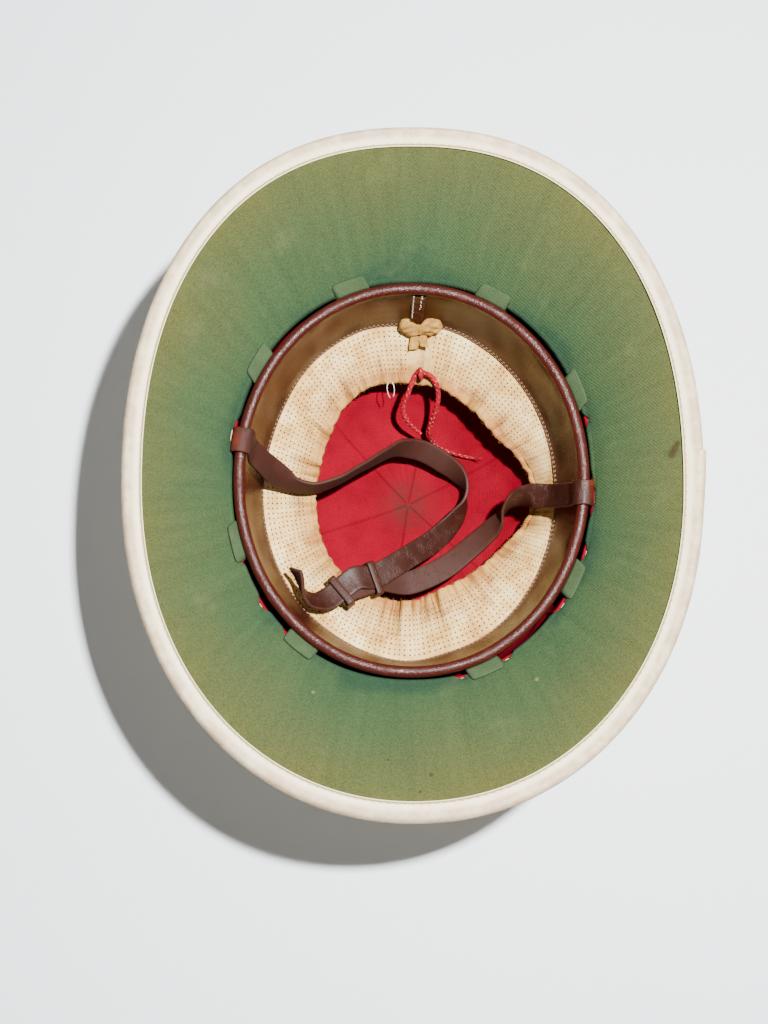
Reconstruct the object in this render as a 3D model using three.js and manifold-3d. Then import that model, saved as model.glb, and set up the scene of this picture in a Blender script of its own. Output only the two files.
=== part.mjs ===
// Pith helmet, lying upside down on its ventilator button with the hollow facing up.
// Millimetres, +Z up. +Y is the helmet's back, where the sweatband is seamed.
// The origin is on the button's flat face, under the middle of the crown.
import * as THREE from 'three';
import Module from 'manifold-3d';
import { mergeVertices } from 'three/addons/utils/BufferGeometryUtils.js';

const wasm = await Module();
wasm.setup();

// Driving dimensions of the shell
const rimHalfWidth = 144.5;
const rimHalfLength = 173.5;
const rimFullnessFront = 2.1;
const rimFullnessBack = 2.28;
const sideRise = 33;
const endRise = 40;
const brimSweep = 3;
const brimWall = 4.2;
const openingGap = 3;
const openingFullness = 2.16;
const crownDepth = 98;
const crownWall = 8.5;
const domeFullness = 2.2;

// Driving dimensions of the head band
const headHalfWidth = 88.8;
const headHalfLength = 100;
const headFullness = 2.04;
const beadRadius = 3;
const beadRise = 0.5;
const bandHeight = 42;
const bandWall = 1.6;
const bandLean = 9.2;
const bandLeanBack = 7.2;
const bandShift = -0.6;
const bandBulge = 1.2;

// Cloth, tape and felt
const cloth = 1;
const clearance = 0.3;
const facetClearance = 0.5;
const liningClearance = 1;
const bindingReach = 8;
const bindingWall = 1.1;
const bindingBulge = 1.1;
const bindingCorner = 1.6;
const crownBandHeight = 26;
const crownBandWall = 1.5;
const buttonHeight = 8;
const buttonFaceRadius = 15;
const buttonRadius = 19.5;
const buttonNeckRadius = 13;
const spacerLength = 19;
const spacerDepth = 15;
const seamWidth = 7.4;
const seamWall = 0.8;
const seamClearance = 0.8;
const seamBearing = 87.2;

// Gathered mesh and its drawstring
const meshDrop = 14;
const hemRadius = 1.8;
const gatherCount = 16;
const gatherHeight = 1.5;
const gatherWander = 0.9;
const cordRadius = 1.5;

// Chin strap
const strapWidth = 13;
const strapWall = 1.9;
const keeperWidth = 4.2;
const keeperWall = 1.2;
const keeperClearance = 0.8;
const strapSlip = 2;
const rightStrapEnd = 3.2;
const bowWidth = 23;

// Levels that follow from the sizes above
const openingLevel = buttonHeight + crownWall + crownDepth;
const beadLevel = openingLevel + beadRise;
const deepLevel = beadLevel - bandHeight;
const liningLevel = openingLevel - crownDepth + clearance + cloth;
const openingHalfWidth = headHalfWidth + beadRadius + openingGap;
const openingHalfLength = headHalfLength + beadRadius + openingGap;

// Facets: the number of steps round the head and round the gathered mesh
const roundSteps = 48;
const meshSteps = 90;
const cordSides = 8;
const stepsPerRow = 2;

const TAU = Math.PI * 2;
const radians = THREE.MathUtils.degToRad;
const up = new THREE.Vector3(0, 0, 1);

// Where the two green felt rows sit, as bearings from +X in degrees
const spacerBearings = [24.5, 64, 108.5, 146.5, 197.5, 234, 292, 331];

// The hem of the mesh: its distance from the axis, as a share of the sweatband's deep edge
const hemTable = [
  { bearing: 0, reach: 0.88 },
  { bearing: 30, reach: 0.716 },
  { bearing: 60, reach: 0.692 },
  { bearing: 90, reach: 0.695 },
  { bearing: 120, reach: 0.71 },
  { bearing: 150, reach: 0.673 },
  { bearing: 180, reach: 0.663 },
  { bearing: 210, reach: 0.681 },
  { bearing: 240, reach: 0.674 },
  { bearing: 270, reach: 0.653 },
  { bearing: 300, reach: 0.633 },
  { bearing: 330, reach: 0.714 },
];

// Chin strap rows. across and along are shares of the head's half width and half length,
// level is a share of the height from the crown lining to the bead, and roll is in degrees.
// heading, in degrees from +X, is given for the rows that run down the band's wall.
const leftStrapTable = [
  { across: -0.93, along: 0.15, level: 0.93, roll: 0, heading: -11 },
  { across: -0.888, along: 0.115, level: 0.85, roll: -2, heading: -11 },
  { across: -0.84, along: 0.085, level: 0.76, roll: -6, heading: -12 },
  { across: -0.787, along: 0.055, level: 0.665, roll: -32, heading: -14 },
  { across: -0.73, along: 0.026, level: 0.6, roll: -56 },
  { across: -0.6, along: 0.011, level: 0.565, roll: -76 },
  { across: -0.461, along: 0.051, level: 0.52, roll: -84 },
  { across: -0.309, along: 0.14, level: 0.434, roll: -86 },
  { across: -0.172, along: 0.226, level: 0.345, roll: -80 },
  { across: -0.071, along: 0.284, level: 0.272, roll: -66 },
  { across: 0.019, along: 0.291, level: 0.218, roll: -46 },
  { across: 0.096, along: 0.279, level: 0.187, roll: -32 },
  { across: 0.219, along: 0.221, level: 0.16, roll: -32 },
  { across: 0.303, along: 0.164, level: 0.15, roll: -50 },
  { across: 0.354, along: 0.095, level: 0.146, roll: -74 },
  { across: 0.36, along: -0.003, level: 0.146, roll: -98 },
  { across: 0.313, along: -0.085, level: 0.155, roll: -128 },
  { across: 0.228, along: -0.177, level: 0.193, roll: -150 },
  { across: 0.13, along: -0.257, level: 0.262, roll: -160 },
  { across: 0.021, along: -0.325, level: 0.35, roll: -168 },
  { across: -0.095, along: -0.398, level: 0.44, roll: -175 },
  { across: -0.225, along: -0.468, level: 0.51, roll: -180 },
  { across: -0.325, along: -0.478, level: 0.56, roll: -184 },
  { across: -0.425, along: -0.545, level: 0.575, roll: -190 },
  { across: -0.485, along: -0.588, level: 0.59, roll: -196 },
  { across: -0.55, along: -0.61, level: 0.61, roll: -222 },
  { across: -0.612, along: -0.598, level: 0.645, roll: -245 },
  { across: -0.652, along: -0.545, level: 0.685, roll: -270 },
  { across: -0.668, along: -0.49, level: 0.72, roll: -288 },
  { across: -0.685, along: -0.452, level: 0.745, roll: -298 },
];
const rightStrapTable = [
  { across: 0.937, along: -0.078, level: 0.93, roll: -180, heading: 175 },
  { across: 0.9, along: -0.066, level: 0.815, roll: -180, heading: 175 },
  { across: 0.83, along: -0.048, level: 0.66, roll: -178 },
  { across: 0.735, along: -0.036, level: 0.588, roll: -165 },
  { across: 0.665, along: -0.046, level: 0.516, roll: -135 },
  { across: 0.605, along: -0.085, level: 0.465, roll: -100 },
  { across: 0.562, along: -0.137, level: 0.424, roll: -62 },
  { across: 0.505, along: -0.192, level: 0.393, roll: -35 },
  { across: 0.375, along: -0.294, level: 0.362, roll: -18 },
  { across: 0.244, along: -0.386, level: 0.355, roll: -10 },
  { across: 0.113, along: -0.45, level: 0.365, roll: -4 },
  { across: -0.018, along: -0.49, level: 0.372, roll: 0 },
];

// Rows of the left strip where a keeper holds the right strip underneath it
const keeperRows = [21, 23];

// Bearings at which the two strips are looped over the bead, in degrees
const leftStrapBearing = 169.5;
const rightStrapBearing = -4.6;

// Routes of the two cord ends, chosen by hand: millimetres from the axis and above the lining
const drawstringRoute = [
  [8, 66.8, 46],
  [11.6, 65.4, 46],
  [14.6, 61.5, 44.5],
  [16, 56.5, 41],
  [15.6, 51, 36],
  [14, 46, 30.5],
  [12, 41.8, 25],
  [11.6, 38.4, 19.5],
  [13, 35.4, 13.6],
  [15.8, 32.8, 9.3],
  [19.6, 31, 7.5],
  [24.4, 29.2, 7.6],
  [29.6, 27.4, 8.6],
  [34.8, 25.9, 10],
  [38.4, 25.1, 11.2],
];
const drawstringEndRoute = [
  [3.8, 67, 44.3],
  [1.6, 62.6, 43.4],
  [-1, 56, 41],
  [-3, 51.4, 37],
  [-3.2, 47, 32.5],
  [-0.6, 43, 28.5],
  [3.2, 40, 24.6],
  [7, 37.4, 21.6],
];

// A superellipse at one angle: half width and half length on the axes, fuller corners above 2
function outline(angle, halfWidth, halfLength, fullness) {
  const cosine = Math.cos(angle);
  const sine = Math.sin(angle);
  const power = 2 / fullness;
  return new THREE.Vector3(
    halfWidth * Math.sign(cosine) * Math.abs(cosine) ** power,
    halfLength * Math.sign(sine) * Math.abs(sine) ** power,
    0,
  );
}

// A point on the crown: latitude 0 is the opening and a right angle is the top of the crown
function dome(angle, latitude, offset) {
  const reach = Math.cos(latitude) ** (2 / domeFullness);
  const drop = Math.sin(latitude) ** (2 / domeFullness);
  const plan = outline(angle, openingHalfWidth + offset, openingHalfLength + offset, openingFullness);
  plan.multiplyScalar(reach);
  plan.z = openingLevel - (crownDepth + offset) * drop;
  return plan;
}

// The latitude at which the crown passes a level
function latitudeAt(level, offset) {
  const drop = (openingLevel - level) / (crownDepth + offset);
  return Math.asin(drop ** (domeFullness / 2));
}

// The crown's level above a place in plan
function domeLevel(x, y, offset) {
  const across = Math.abs(x) / (openingHalfWidth + offset);
  const along = Math.abs(y) / (openingHalfLength + offset);
  const reach = (across ** openingFullness + along ** openingFullness) ** (1 / openingFullness);
  const drop = (1 - reach ** domeFullness) ** (1 / domeFullness);
  return openingLevel - (crownDepth + offset) * drop;
}

// The green face of the brim: share 0 is the opening and share 1 the edge of the shell
function greenFace(angle, share) {
  const inset = clearance + bindingWall + bindingBulge;
  const back = (1 + Math.sin(angle)) / 2;
  const fullness = THREE.MathUtils.lerp(rimFullnessFront, rimFullnessBack, back);
  const start = outline(angle, openingHalfWidth, openingHalfLength, openingFullness);
  const end = outline(angle, rimHalfWidth - inset, rimHalfLength - inset, fullness);
  end.z = THREE.MathUtils.lerp(sideRise, endRise, Math.sin(angle) ** 2);
  const point = start.lerp(end, share);
  point.z += openingLevel + 4 * brimSweep * share * (1 - share);
  return point;
}

// The unit normal of a face given as a function of angle and share, turned towards a side
function faceNormal(face, angle, share, towards) {
  const step = 1e-3;
  const around = face(angle + step, share).sub(face(angle - step, share));
  const along = face(angle, share + step).sub(face(angle, share - step));
  const normal = around.cross(along).normalize();
  return normal.dot(towards) < 0 ? normal.negate() : normal;
}

function greenOffset(angle, share, distance) {
  const normal = faceNormal(greenFace, angle, share, up);
  return greenFace(angle, share).addScaledVector(normal, distance);
}

// The cloth face outside the brim, from the crown's foot to the edge of the shell
function clothFace(angle, share) {
  const start = dome(angle, 0, crownWall);
  const end = greenOffset(angle, 1, -brimWall);
  const point = start.lerp(end, share);
  point.z += 4 * brimSweep * share * (1 - share);
  return point;
}

// The middle of the sweatband's wall: share 0 is the bead and share 1 the deep edge
function bandLine(angle, share) {
  const top = outline(angle, headHalfWidth, headHalfLength, headFullness);
  const deep = outline(angle, headHalfWidth - bandLean, headHalfLength - bandLeanBack, 2);
  deep.x += bandShift;
  const point = top.clone().lerp(deep, share);
  const bulge = bandBulge * Math.sin(Math.PI * share);
  point.addScaledVector(top.normalize(), bulge);
  point.z = beadLevel - bandHeight * share;
  return point;
}

// The band's outward direction and its direction towards the bead, at one place
function bandFrame(angle, share) {
  const outward = faceNormal(bandLine, angle, share, bandLine(angle, share).setZ(0));
  const rising = bandLine(angle, share - 0.01).sub(bandLine(angle, share + 0.01)).normalize();
  return { outward, rising };
}

function bandOffset(angle, share, distance) {
  return bandLine(angle, share).addScaledVector(bandFrame(angle, share).outward, distance);
}

// The hem's reach at an angle, smoothly between the rows of its table
function hemReach(angle) {
  const count = hemTable.length;
  const place = ((angle / TAU) % 1 + 1) % 1 * count;
  const row = Math.floor(place) % count;
  const part = place - Math.floor(place);
  const value = (index) => hemTable[(index + count) % count].reach;
  const before = value(row - 1);
  const first = value(row);
  const second = value(row + 1);
  const after = value(row + 2);
  const slopeFirst = (second - before) / 2;
  const slopeSecond = (after - first) / 2;
  const square = part * part;
  const cube = square * part;
  return (2 * cube - 3 * square + 1) * first + (cube - 2 * square + part) * slopeFirst
    + (3 * square - 2 * cube) * second + (cube - square) * slopeSecond;
}

// The middle of the mesh: share 0 lies under the band's deep edge and share 1 is the hem.
// The gathers rise and fall with the angle and grow towards the hem.
function meshLine(angle, share) {
  const edge = bandLine(angle, 1);
  const outer = edge.clone();
  const inner = edge.clone().multiplyScalar(hemReach(angle));
  const point = outer.lerp(inner, share);
  const gather = Math.cos(gatherCount * angle + gatherWander * Math.sin(3 * angle));
  point.z = deepLevel - clearance - cloth - meshDrop * share + gatherHeight * gather * share ** 2;
  return point;
}

// A closed solid through a row of sections. A section of one point is a pole.
// Open rows are capped at both ends, and a closed row joins its last section to its first.
function loft(sections, closed = false) {
  const positions = [];
  const starts = [];
  for (const section of sections) {
    starts.push(positions.length / 3);
    for (const point of section) positions.push(point.x, point.y, point.z);
  }
  const triangles = [];
  const bands = closed ? sections.length : sections.length - 1;
  for (let band = 0; band < bands; band += 1) {
    const next = (band + 1) % sections.length;
    const here = sections[band].length;
    const there = sections[next].length;
    const count = Math.max(here, there);
    for (let i = 0; i < count; i += 1) {
      const j = (i + 1) % count;
      const a = starts[band] + (here === 1 ? 0 : i);
      const b = starts[band] + (here === 1 ? 0 : j);
      const c = starts[next] + (there === 1 ? 0 : i);
      const d = starts[next] + (there === 1 ? 0 : j);
      if (here > 1) triangles.push(a, b, there === 1 ? c : d);
      if (there > 1) triangles.push(a, d, c);
    }
  }
  if (!closed) {
    capEnd(triangles, starts[0], sections[0].length, true);
    capEnd(triangles, starts[sections.length - 1], sections[sections.length - 1].length, false);
  }
  const geometry = new THREE.BufferGeometry();
  geometry.setAttribute('position', new THREE.Float32BufferAttribute(positions, 3));
  geometry.setIndex(triangles);
  return facingOut(geometry);
}

// A fan of triangles over the end of a lofted row
function capEnd(triangles, start, count, reversed) {
  for (let i = 1; i < count - 1; i += 1) {
    if (reversed) triangles.push(start, start + i + 1, start + i);
    else triangles.push(start, start + i, start + i + 1);
  }
}

// Turns a closed surface inside out where its volume comes out negative
function facingOut(geometry) {
  const index = geometry.index.array;
  const corners = [new THREE.Vector3(), new THREE.Vector3(), new THREE.Vector3()];
  const position = geometry.attributes.position;
  let volume = 0;
  for (let i = 0; i < index.length; i += 3) {
    corners.forEach((corner, k) => corner.fromBufferAttribute(position, index[i + k]));
    volume += corners[0].dot(corners[1].clone().cross(corners[2])) / 6;
  }
  if (volume < 0) {
    for (let i = 0; i < index.length; i += 3) {
      const swap = index[i + 1];
      index[i + 1] = index[i + 2];
      index[i + 2] = swap;
    }
  }
  geometry.computeVertexNormals();
  return geometry;
}

// One section per angle round the head, as a closed ring of material
function aroundHead(steps, sectionAt) {
  const sections = [];
  for (let step = 0; step < steps; step += 1) sections.push(sectionAt(TAU * step / steps));
  return loft(sections, true);
}

// One closed curve round the head for each level of a shell with a pole at each end
function ring(steps, pointAt) {
  return Array.from({ length: steps }, (_, step) => pointAt(TAU * step / steps));
}

const rightAngle = Math.PI / 2;

// Shared by the shell and its lining, so that their facets lie parallel
const crownLatitudes = [84, 74, 63, 51, 38, 25, 12].map(radians);
const brimShares = [0.25, 0.5, 0.75, 1];

// The crown: its outside from the top to its foot, and back up inside
function crownGeometry() {
  const latitudes = [...crownLatitudes, 0];
  const face = (offset) => latitudes.map((latitude) => ring(roundSteps, (angle) => dome(angle, latitude, offset)));
  const outerPole = [dome(0, rightAngle, crownWall)];
  const innerPole = [dome(0, rightAngle, 0)];
  return loft([outerPole, ...face(crownWall), ...face(0).reverse(), innerPole]);
}

// The brim: its cloth face from the crown's foot to the edge, and its green face back
function brimGeometry() {
  const lift = (point) => point.addScaledVector(up, clearance);
  return aroundHead(roundSteps, (angle) => [
    lift(clothFace(angle, 0)),
    ...brimShares.map((share) => clothFace(angle, share)),
    ...[...brimShares].reverse().map((share) => greenFace(angle, share)),
    lift(greenFace(angle, 0)),
  ]);
}

// The red lining: two faces from the top of the crown to just under the opening
function crownLiningGeometry() {
  const edge = latitudeAt(openingLevel - cloth, -clearance);
  const latitudes = [...crownLatitudes, edge];
  const face = (offset) => latitudes.map((latitude) => ring(roundSteps, (angle) => dome(angle, latitude, offset)));
  const back = -clearance;
  const front = -clearance - cloth;
  return loft([
    [dome(0, rightAngle, back)],
    ...face(back),
    ...face(front).reverse(),
    [dome(0, rightAngle, front)],
  ]);
}

function brimLiningGeometry() {
  const shares = [0.012, ...brimShares];
  return aroundHead(roundSteps, (angle) => [
    ...shares.map((share) => greenOffset(angle, share, clearance)),
    ...[...shares].reverse().map((share) => greenOffset(angle, share, clearance + cloth)),
  ]);
}

// The cloth face, moved outwards by a distance
function clothOffset(angle, share, distance) {
  const normal = faceNormal(clothFace, angle, share, up.clone().negate());
  return clothFace(angle, share).addScaledVector(normal, distance);
}

// The tape folded round the edge: each leg follows the face that it is sewn to
function bindingGeometry() {
  const top = clearance + cloth + clearance;
  const bottom = -brimWall - clearance;
  const middle = (top + bottom) / 2;
  return aroundHead(roundSteps, (angle) => {
    const edge = greenFace(angle, 1);
    const green = 1 - bindingReach / edge.distanceTo(greenFace(angle, 0));
    const under = 1 - bindingReach / clothFace(angle, 1).distanceTo(clothFace(angle, 0));
    const along = greenFace(angle, 1).sub(greenFace(angle, 0.97)).normalize();
    const across = faceNormal(greenFace, angle, 1, up);
    const place = (reach, rise) => edge.clone().addScaledVector(along, reach).addScaledVector(across, rise);
    const outer = clearance + bindingWall;
    return [
      greenOffset(angle, green, top),
      place(clearance, top),
      place(clearance, bottom),
      clothOffset(angle, under, clearance),
      clothOffset(angle, under, clearance + bindingWall),
      place(outer - bindingCorner, bottom - bindingWall),
      place(outer, middle - bindingCorner),
      place(outer, middle + bindingCorner),
      place(outer - bindingCorner, top + bindingWall),
      greenOffset(angle, green, top + bindingWall),
    ];
  });
}

// The plain band round the foot of the crown, outside
function crownBandGeometry() {
  const foot = openingLevel - cloth - clearance;
  const levels = [foot, foot - crownBandHeight / 2, foot - crownBandHeight];
  const inner = crownWall + clearance;
  const point = (angle, level, offset) => dome(angle, latitudeAt(level, offset), offset);
  return aroundHead(roundSteps, (angle) => [
    ...levels.map((level) => point(angle, level, inner)),
    ...[...levels].reverse().map((level) => point(angle, level, inner + crownBandWall)),
  ]);
}

// The ventilator button: a flat face to stand on, a rounded edge, and a seat shaped to the crown
function buttonGeometry() {
  const profile = [
    { radius: buttonFaceRadius, height: 0 },
    { radius: (buttonFaceRadius + 2 * buttonRadius) / 3, height: buttonHeight * 0.12 },
    { radius: buttonRadius, height: buttonHeight * 0.36 },
    { radius: buttonRadius, height: buttonHeight * 0.56 },
    { radius: (buttonRadius + buttonNeckRadius) / 2, height: buttonHeight * 0.74 },
    { radius: buttonNeckRadius, height: buttonHeight * 0.8 },
  ];
  const sides = 20;
  const turn = (angle, radius, height) => new THREE.Vector3(radius * Math.cos(angle), radius * Math.sin(angle), height);
  const rings = profile.map(({ radius, height }) => ring(sides, (angle) => turn(angle, radius, height)));
  const seat = ring(sides, (angle) => {
    const point = turn(angle, buttonNeckRadius, 0);
    point.z = domeLevel(point.x, point.y, crownWall + clearance);
    return point;
  });
  const middle = new THREE.Vector3(0, 0, domeLevel(0, 0, crownWall + clearance));
  return loft([[new THREE.Vector3()], ...rings, seat, [middle]]);
}

// The leather band: a thin wall under a round bead
function sweatbandGeometry() {
  const beadTurns = [255, 210, 165, 120, 75, 30, -15, -75].map(radians);
  return aroundHead(roundSteps, (angle) => {
    const { outward, rising } = bandFrame(angle, 0);
    const bead = beadTurns.map((turn) => bandLine(angle, 0)
      .addScaledVector(outward, beadRadius * Math.cos(turn))
      .addScaledVector(rising, beadRadius * Math.sin(turn)));
    return [
      bandOffset(angle, 1, -bandWall / 2),
      bandOffset(angle, 0.5, -bandWall / 2),
      ...bead,
      bandOffset(angle, 0.5, bandWall / 2),
      bandOffset(angle, 1, bandWall / 2),
    ];
  });
}

// The lap strip over the band's seam, a little proud of the leather
function seamGeometry() {
  const shares = [0.1, 0.4, 0.7, 0.99];
  const half = seamWidth / 2 / headHalfWidth;
  const angle = radians(seamBearing);
  const near = -bandWall / 2 - seamClearance;
  const far = near - seamWall;
  return loft(shares.map((share) => [
    bandOffset(angle - half, share, near),
    bandOffset(angle + half, share, near),
    bandOffset(angle + half, share, far),
    bandOffset(angle - half, share, far),
  ]));
}

// The gathered mesh, a thin wall that ends in a round hem
function meshGeometry() {
  const shares = [0, 0.45, 0.85];
  return aroundHead(meshSteps, (angle) => {
    const inward = meshLine(angle, 0).sub(meshLine(angle, 1)).setZ(0).normalize().negate();
    const hem = meshLine(angle, 1);
    return [
      ...shares.map((share) => meshLine(angle, share).addScaledVector(up, cloth / 2)),
      hem.clone().addScaledVector(up, hemRadius),
      hem.clone().addScaledVector(inward, hemRadius),
      hem.clone().addScaledVector(up, -hemRadius),
      ...[...shares].reverse().map((share) => meshLine(angle, share).addScaledVector(up, -cloth / 2)),
    ];
  });
}

// A felt block wedged between the band, just under the bead, and the crown lining
function spacerGeometry(bearing) {
  const middle = radians(bearing);
  const half = spacerLength / 2 / headHalfLength;
  const lining = -clearance - cloth - liningClearance;
  const sections = [-half, 0, half].map((turn) => {
    const angle = middle + turn;
    const { outward, rising } = bandFrame(angle, 0);
    const tuck = radians(-35);
    const underBead = bandLine(angle, 0)
      .addScaledVector(outward, (beadRadius + facetClearance) * Math.cos(tuck))
      .addScaledVector(rising, (beadRadius + facetClearance) * Math.sin(tuck));
    const wall = bandWall / 2 + facetClearance;
    const upper = bandOffset(angle, spacerDepth / bandHeight / 2, wall);
    const lower = bandOffset(angle, spacerDepth / bandHeight, wall);
    return [
      underBead,
      upper,
      lower,
      dome(angle, latitudeAt(lower.z, lining), lining),
      dome(angle, latitudeAt(underBead.z, lining), lining),
    ];
  });
  return loft(sections);
}

// Where a row of a strap table lies
function strapPoint({ across, along, level }) {
  return new THREE.Vector3(
    across * headHalfWidth,
    along * headHalfLength,
    liningLevel + level * (beadLevel - liningLevel),
  );
}

// The rows of a strap's loop over the bead, from its outer end up, over and down inside
function beadLoop(bearing, roll) {
  const angle = radians(bearing);
  const { outward } = bandFrame(angle, 0);
  outward.setZ(0).normalize();
  const radius = beadRadius + facetClearance + strapWall / 2;
  return [-14, 20, 55, 90, 125, 160].map((turn) => ({
    point: bandLine(angle, 0)
      .addScaledVector(outward, radius * Math.cos(radians(turn)))
      .addScaledVector(up, radius * Math.sin(radians(turn))),
    heading: outward.clone().negate(),
    roll,
  }));
}

// Rows of a strap with their headings in plan, each from the rows beside it
function strapRows(loop, table) {
  const rows = [...loop];
  for (const row of table) {
    const turn = row.heading === undefined ? undefined : radians(row.heading);
    const heading = turn === undefined ? undefined : new THREE.Vector3(Math.cos(turn), Math.sin(turn), 0);
    rows.push({ point: strapPoint(row), roll: row.roll, heading });
  }
  rows.forEach((row, i) => {
    if (row.heading) return;
    const before = rows[i - 1].point;
    const after = rows[Math.min(i + 1, rows.length - 1)].point;
    row.heading = after.clone().sub(before).setZ(0).normalize();
  });
  return rows;
}

// Frames along a strap: its centre, its direction, the way across it and its grain side
function strapFrames(rows) {
  const curve = new THREE.CatmullRomCurve3(rows.map((row) => row.point), false, 'centripetal');
  const count = (rows.length - 1) * stepsPerRow;
  return Array.from({ length: count + 1 }, (_, i) => {
    const place = i / stepsPerRow;
    const row = Math.min(Math.floor(place), rows.length - 2);
    const part = place - row;
    const share = place / (rows.length - 1);
    const centre = curve.getPoint(share);
    const direction = curve.getTangent(share);
    const heading = rows[row].heading.clone().lerp(rows[row + 1].heading, part).normalize();
    const roll = radians(THREE.MathUtils.lerp(rows[row].roll, rows[row + 1].roll, part));
    const side = new THREE.Vector3(heading.y, -heading.x, 0);
    const lift = side.clone().cross(direction).normalize();
    const across = side.multiplyScalar(Math.cos(roll)).addScaledVector(lift, Math.sin(roll));
    across.addScaledVector(direction, -across.dot(direction)).normalize();
    const grain = direction.clone().cross(across);
    return { centre, direction, across, grain };
  });
}

function strapGeometry(frames) {
  const corners = [[-1, -1], [1, -1], [1, 1], [-1, 1]];
  return loft(frames.map(({ centre, across, grain }) => corners.map(([side, face]) => centre.clone()
    .addScaledVector(across, side * strapWidth / 2)
    .addScaledVector(grain, face * strapWall / 2))));
}

// A keeper: a flat leather loop round both strips
function keeperGeometry(frame) {
  const middle = frame.centre.clone()
    .addScaledVector(frame.grain, -(strapWall + clearance) / 2)
    .addScaledVector(frame.across, strapSlip / 2);
  const halfWidth = (strapWidth + strapSlip) / 2 + keeperClearance;
  const halfHeight = strapWall + clearance / 2 + keeperClearance;
  const place = (x, y, along) => middle.clone()
    .addScaledVector(frame.across, x)
    .addScaledVector(frame.grain, y)
    .addScaledVector(frame.direction, along * keeperWidth / 2);
  return loft([[1, 1], [-1, 1], [-1, -1], [1, -1]].map(([x, y]) => {
    const inX = x * halfWidth;
    const inY = y * halfHeight;
    const outX = inX + x * keeperWall;
    const outY = inY + y * keeperWall;
    return [place(inX, inY, -1), place(inX, inY, 1), place(outX, outY, 1), place(outX, outY, -1)];
  }), true);
}

// A round cord along its route, whose heights are given above the crown lining
function cordGeometry(route) {
  const points = route.map(([x, y, height]) => new THREE.Vector3(x, y, liningLevel + height));
  const path = new THREE.CatmullRomCurve3(points, false, 'centripetal');
  const section = new THREE.Shape(Array.from({ length: cordSides }, (_, i) => new THREE.Vector2(
    cordRadius * Math.cos(TAU * i / cordSides),
    cordRadius * Math.sin(TAU * i / cordSides),
  )));
  const steps = Math.round(path.getLength() / (cordRadius * 2));
  return new THREE.ExtrudeGeometry(section, { steps, curveSegments: 1, bevelEnabled: false, extrudePath: path });
}

// The bow's pads. side, lift and the half sizes are shares of the bow's width, share is the
// place on the mesh, lift is measured from the mesh, and lean is in degrees above the level.
const bowPads = [
  { side: -0.26, share: 0.17, lift: 0.28, halfAcross: 0.2, halfLength: 0.24, halfWall: 0.055, lean: 52 },
  { side: 0.3, share: 0.17, lift: 0.28, halfAcross: 0.245, halfLength: 0.24, halfWall: 0.055, lean: 52 },
  { side: 0, share: 0.21, lift: 0.14, halfAcross: 0.17, halfLength: 0.14, halfWall: 0.07, lean: 40 },
  { side: -0.1, share: 0.4, lift: 0.09, halfAcross: 0.13, halfLength: 0.27, halfWall: 0.04, lean: 27 },
  { side: 0.17, share: 0.34, lift: 0.09, halfAcross: 0.11, halfLength: 0.22, halfWall: 0.04, lean: 27 },
];

// Rounded ribbon pads joined into a bow: two loops, a knot and two hanging ends
function bowGeometry() {
  const angle = radians(seamBearing);
  const padSides = 12;
  const shoulder = 0.8;
  const across = new THREE.Vector3(1, 0, 0);
  const solids = bowPads.map((pad) => {
    const lean = radians(pad.lean);
    const rising = new THREE.Vector3(0, Math.cos(lean), Math.sin(lean));
    const facing = across.clone().cross(rising);
    const centre = meshLine(angle, pad.share)
      .addScaledVector(across, pad.side * bowWidth)
      .addScaledVector(up, cloth / 2 + pad.lift * bowWidth);
    const place = (turn, share, face) => centre.clone()
      .addScaledVector(across, pad.halfAcross * bowWidth * share * Math.cos(turn))
      .addScaledVector(rising, pad.halfLength * bowWidth * share * Math.sin(turn))
      .addScaledVector(facing, pad.halfWall * bowWidth * face);
    return solidOf(loft([
      [place(0, 0, -1)],
      ring(padSides, (turn) => place(turn, shoulder, -shoulder)),
      ring(padSides, (turn) => place(turn, 1, 0)),
      ring(padSides, (turn) => place(turn, shoulder, shoulder)),
      [place(0, 0, 1)],
    ]));
  });
  return geometryOf(solids.reduce((joined, solid) => joined.add(solid)));
}

function solidOf(geometry) {
  const bare = geometry.clone();
  bare.deleteAttribute('normal');
  const merged = mergeVertices(bare);
  return new wasm.Manifold(new wasm.Mesh({
    numProp: 3,
    vertProperties: new Float32Array(merged.attributes.position.array),
    triVerts: new Uint32Array(merged.index.array),
  }));
}

function geometryOf(solid) {
  const mesh = solid.getMesh();
  const geometry = new THREE.BufferGeometry();
  geometry.setAttribute('position', new THREE.BufferAttribute(new Float32Array(mesh.vertProperties), 3));
  geometry.setIndex(Array.from(mesh.triVerts));
  geometry.computeVertexNormals();
  return geometry;
}

const finishes = {
  creamCloth: new THREE.MeshStandardMaterial({ color: 0xe6dcc3, roughness: 0.85, metalness: 0 }),
  creamTape: new THREE.MeshStandardMaterial({ color: 0xefe6d4, roughness: 0.8, metalness: 0 }),
  redCloth: new THREE.MeshStandardMaterial({ color: 0xa8192b, roughness: 0.9, metalness: 0 }),
  greenCloth: new THREE.MeshStandardMaterial({ color: 0x6a8a57, roughness: 0.9, metalness: 0 }),
  greenFelt: new THREE.MeshStandardMaterial({ color: 0x5f8a5c, roughness: 1, metalness: 0 }),
  brownLeather: new THREE.MeshStandardMaterial({ color: 0x6e2f1d, roughness: 0.4, metalness: 0 }),
  strapLeather: new THREE.MeshStandardMaterial({ color: 0x4f3328, roughness: 0.6, metalness: 0 }),
  meshCotton: new THREE.MeshStandardMaterial({ color: 0xe5d3a8, roughness: 0.9, metalness: 0 }),
  ribbon: new THREE.MeshStandardMaterial({ color: 0xc9b27c, roughness: 0.8, metalness: 0 }),
  redCord: new THREE.MeshStandardMaterial({ color: 0xb4202c, roughness: 0.8, metalness: 0 }),
};

const helmet = new THREE.Group();

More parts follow.
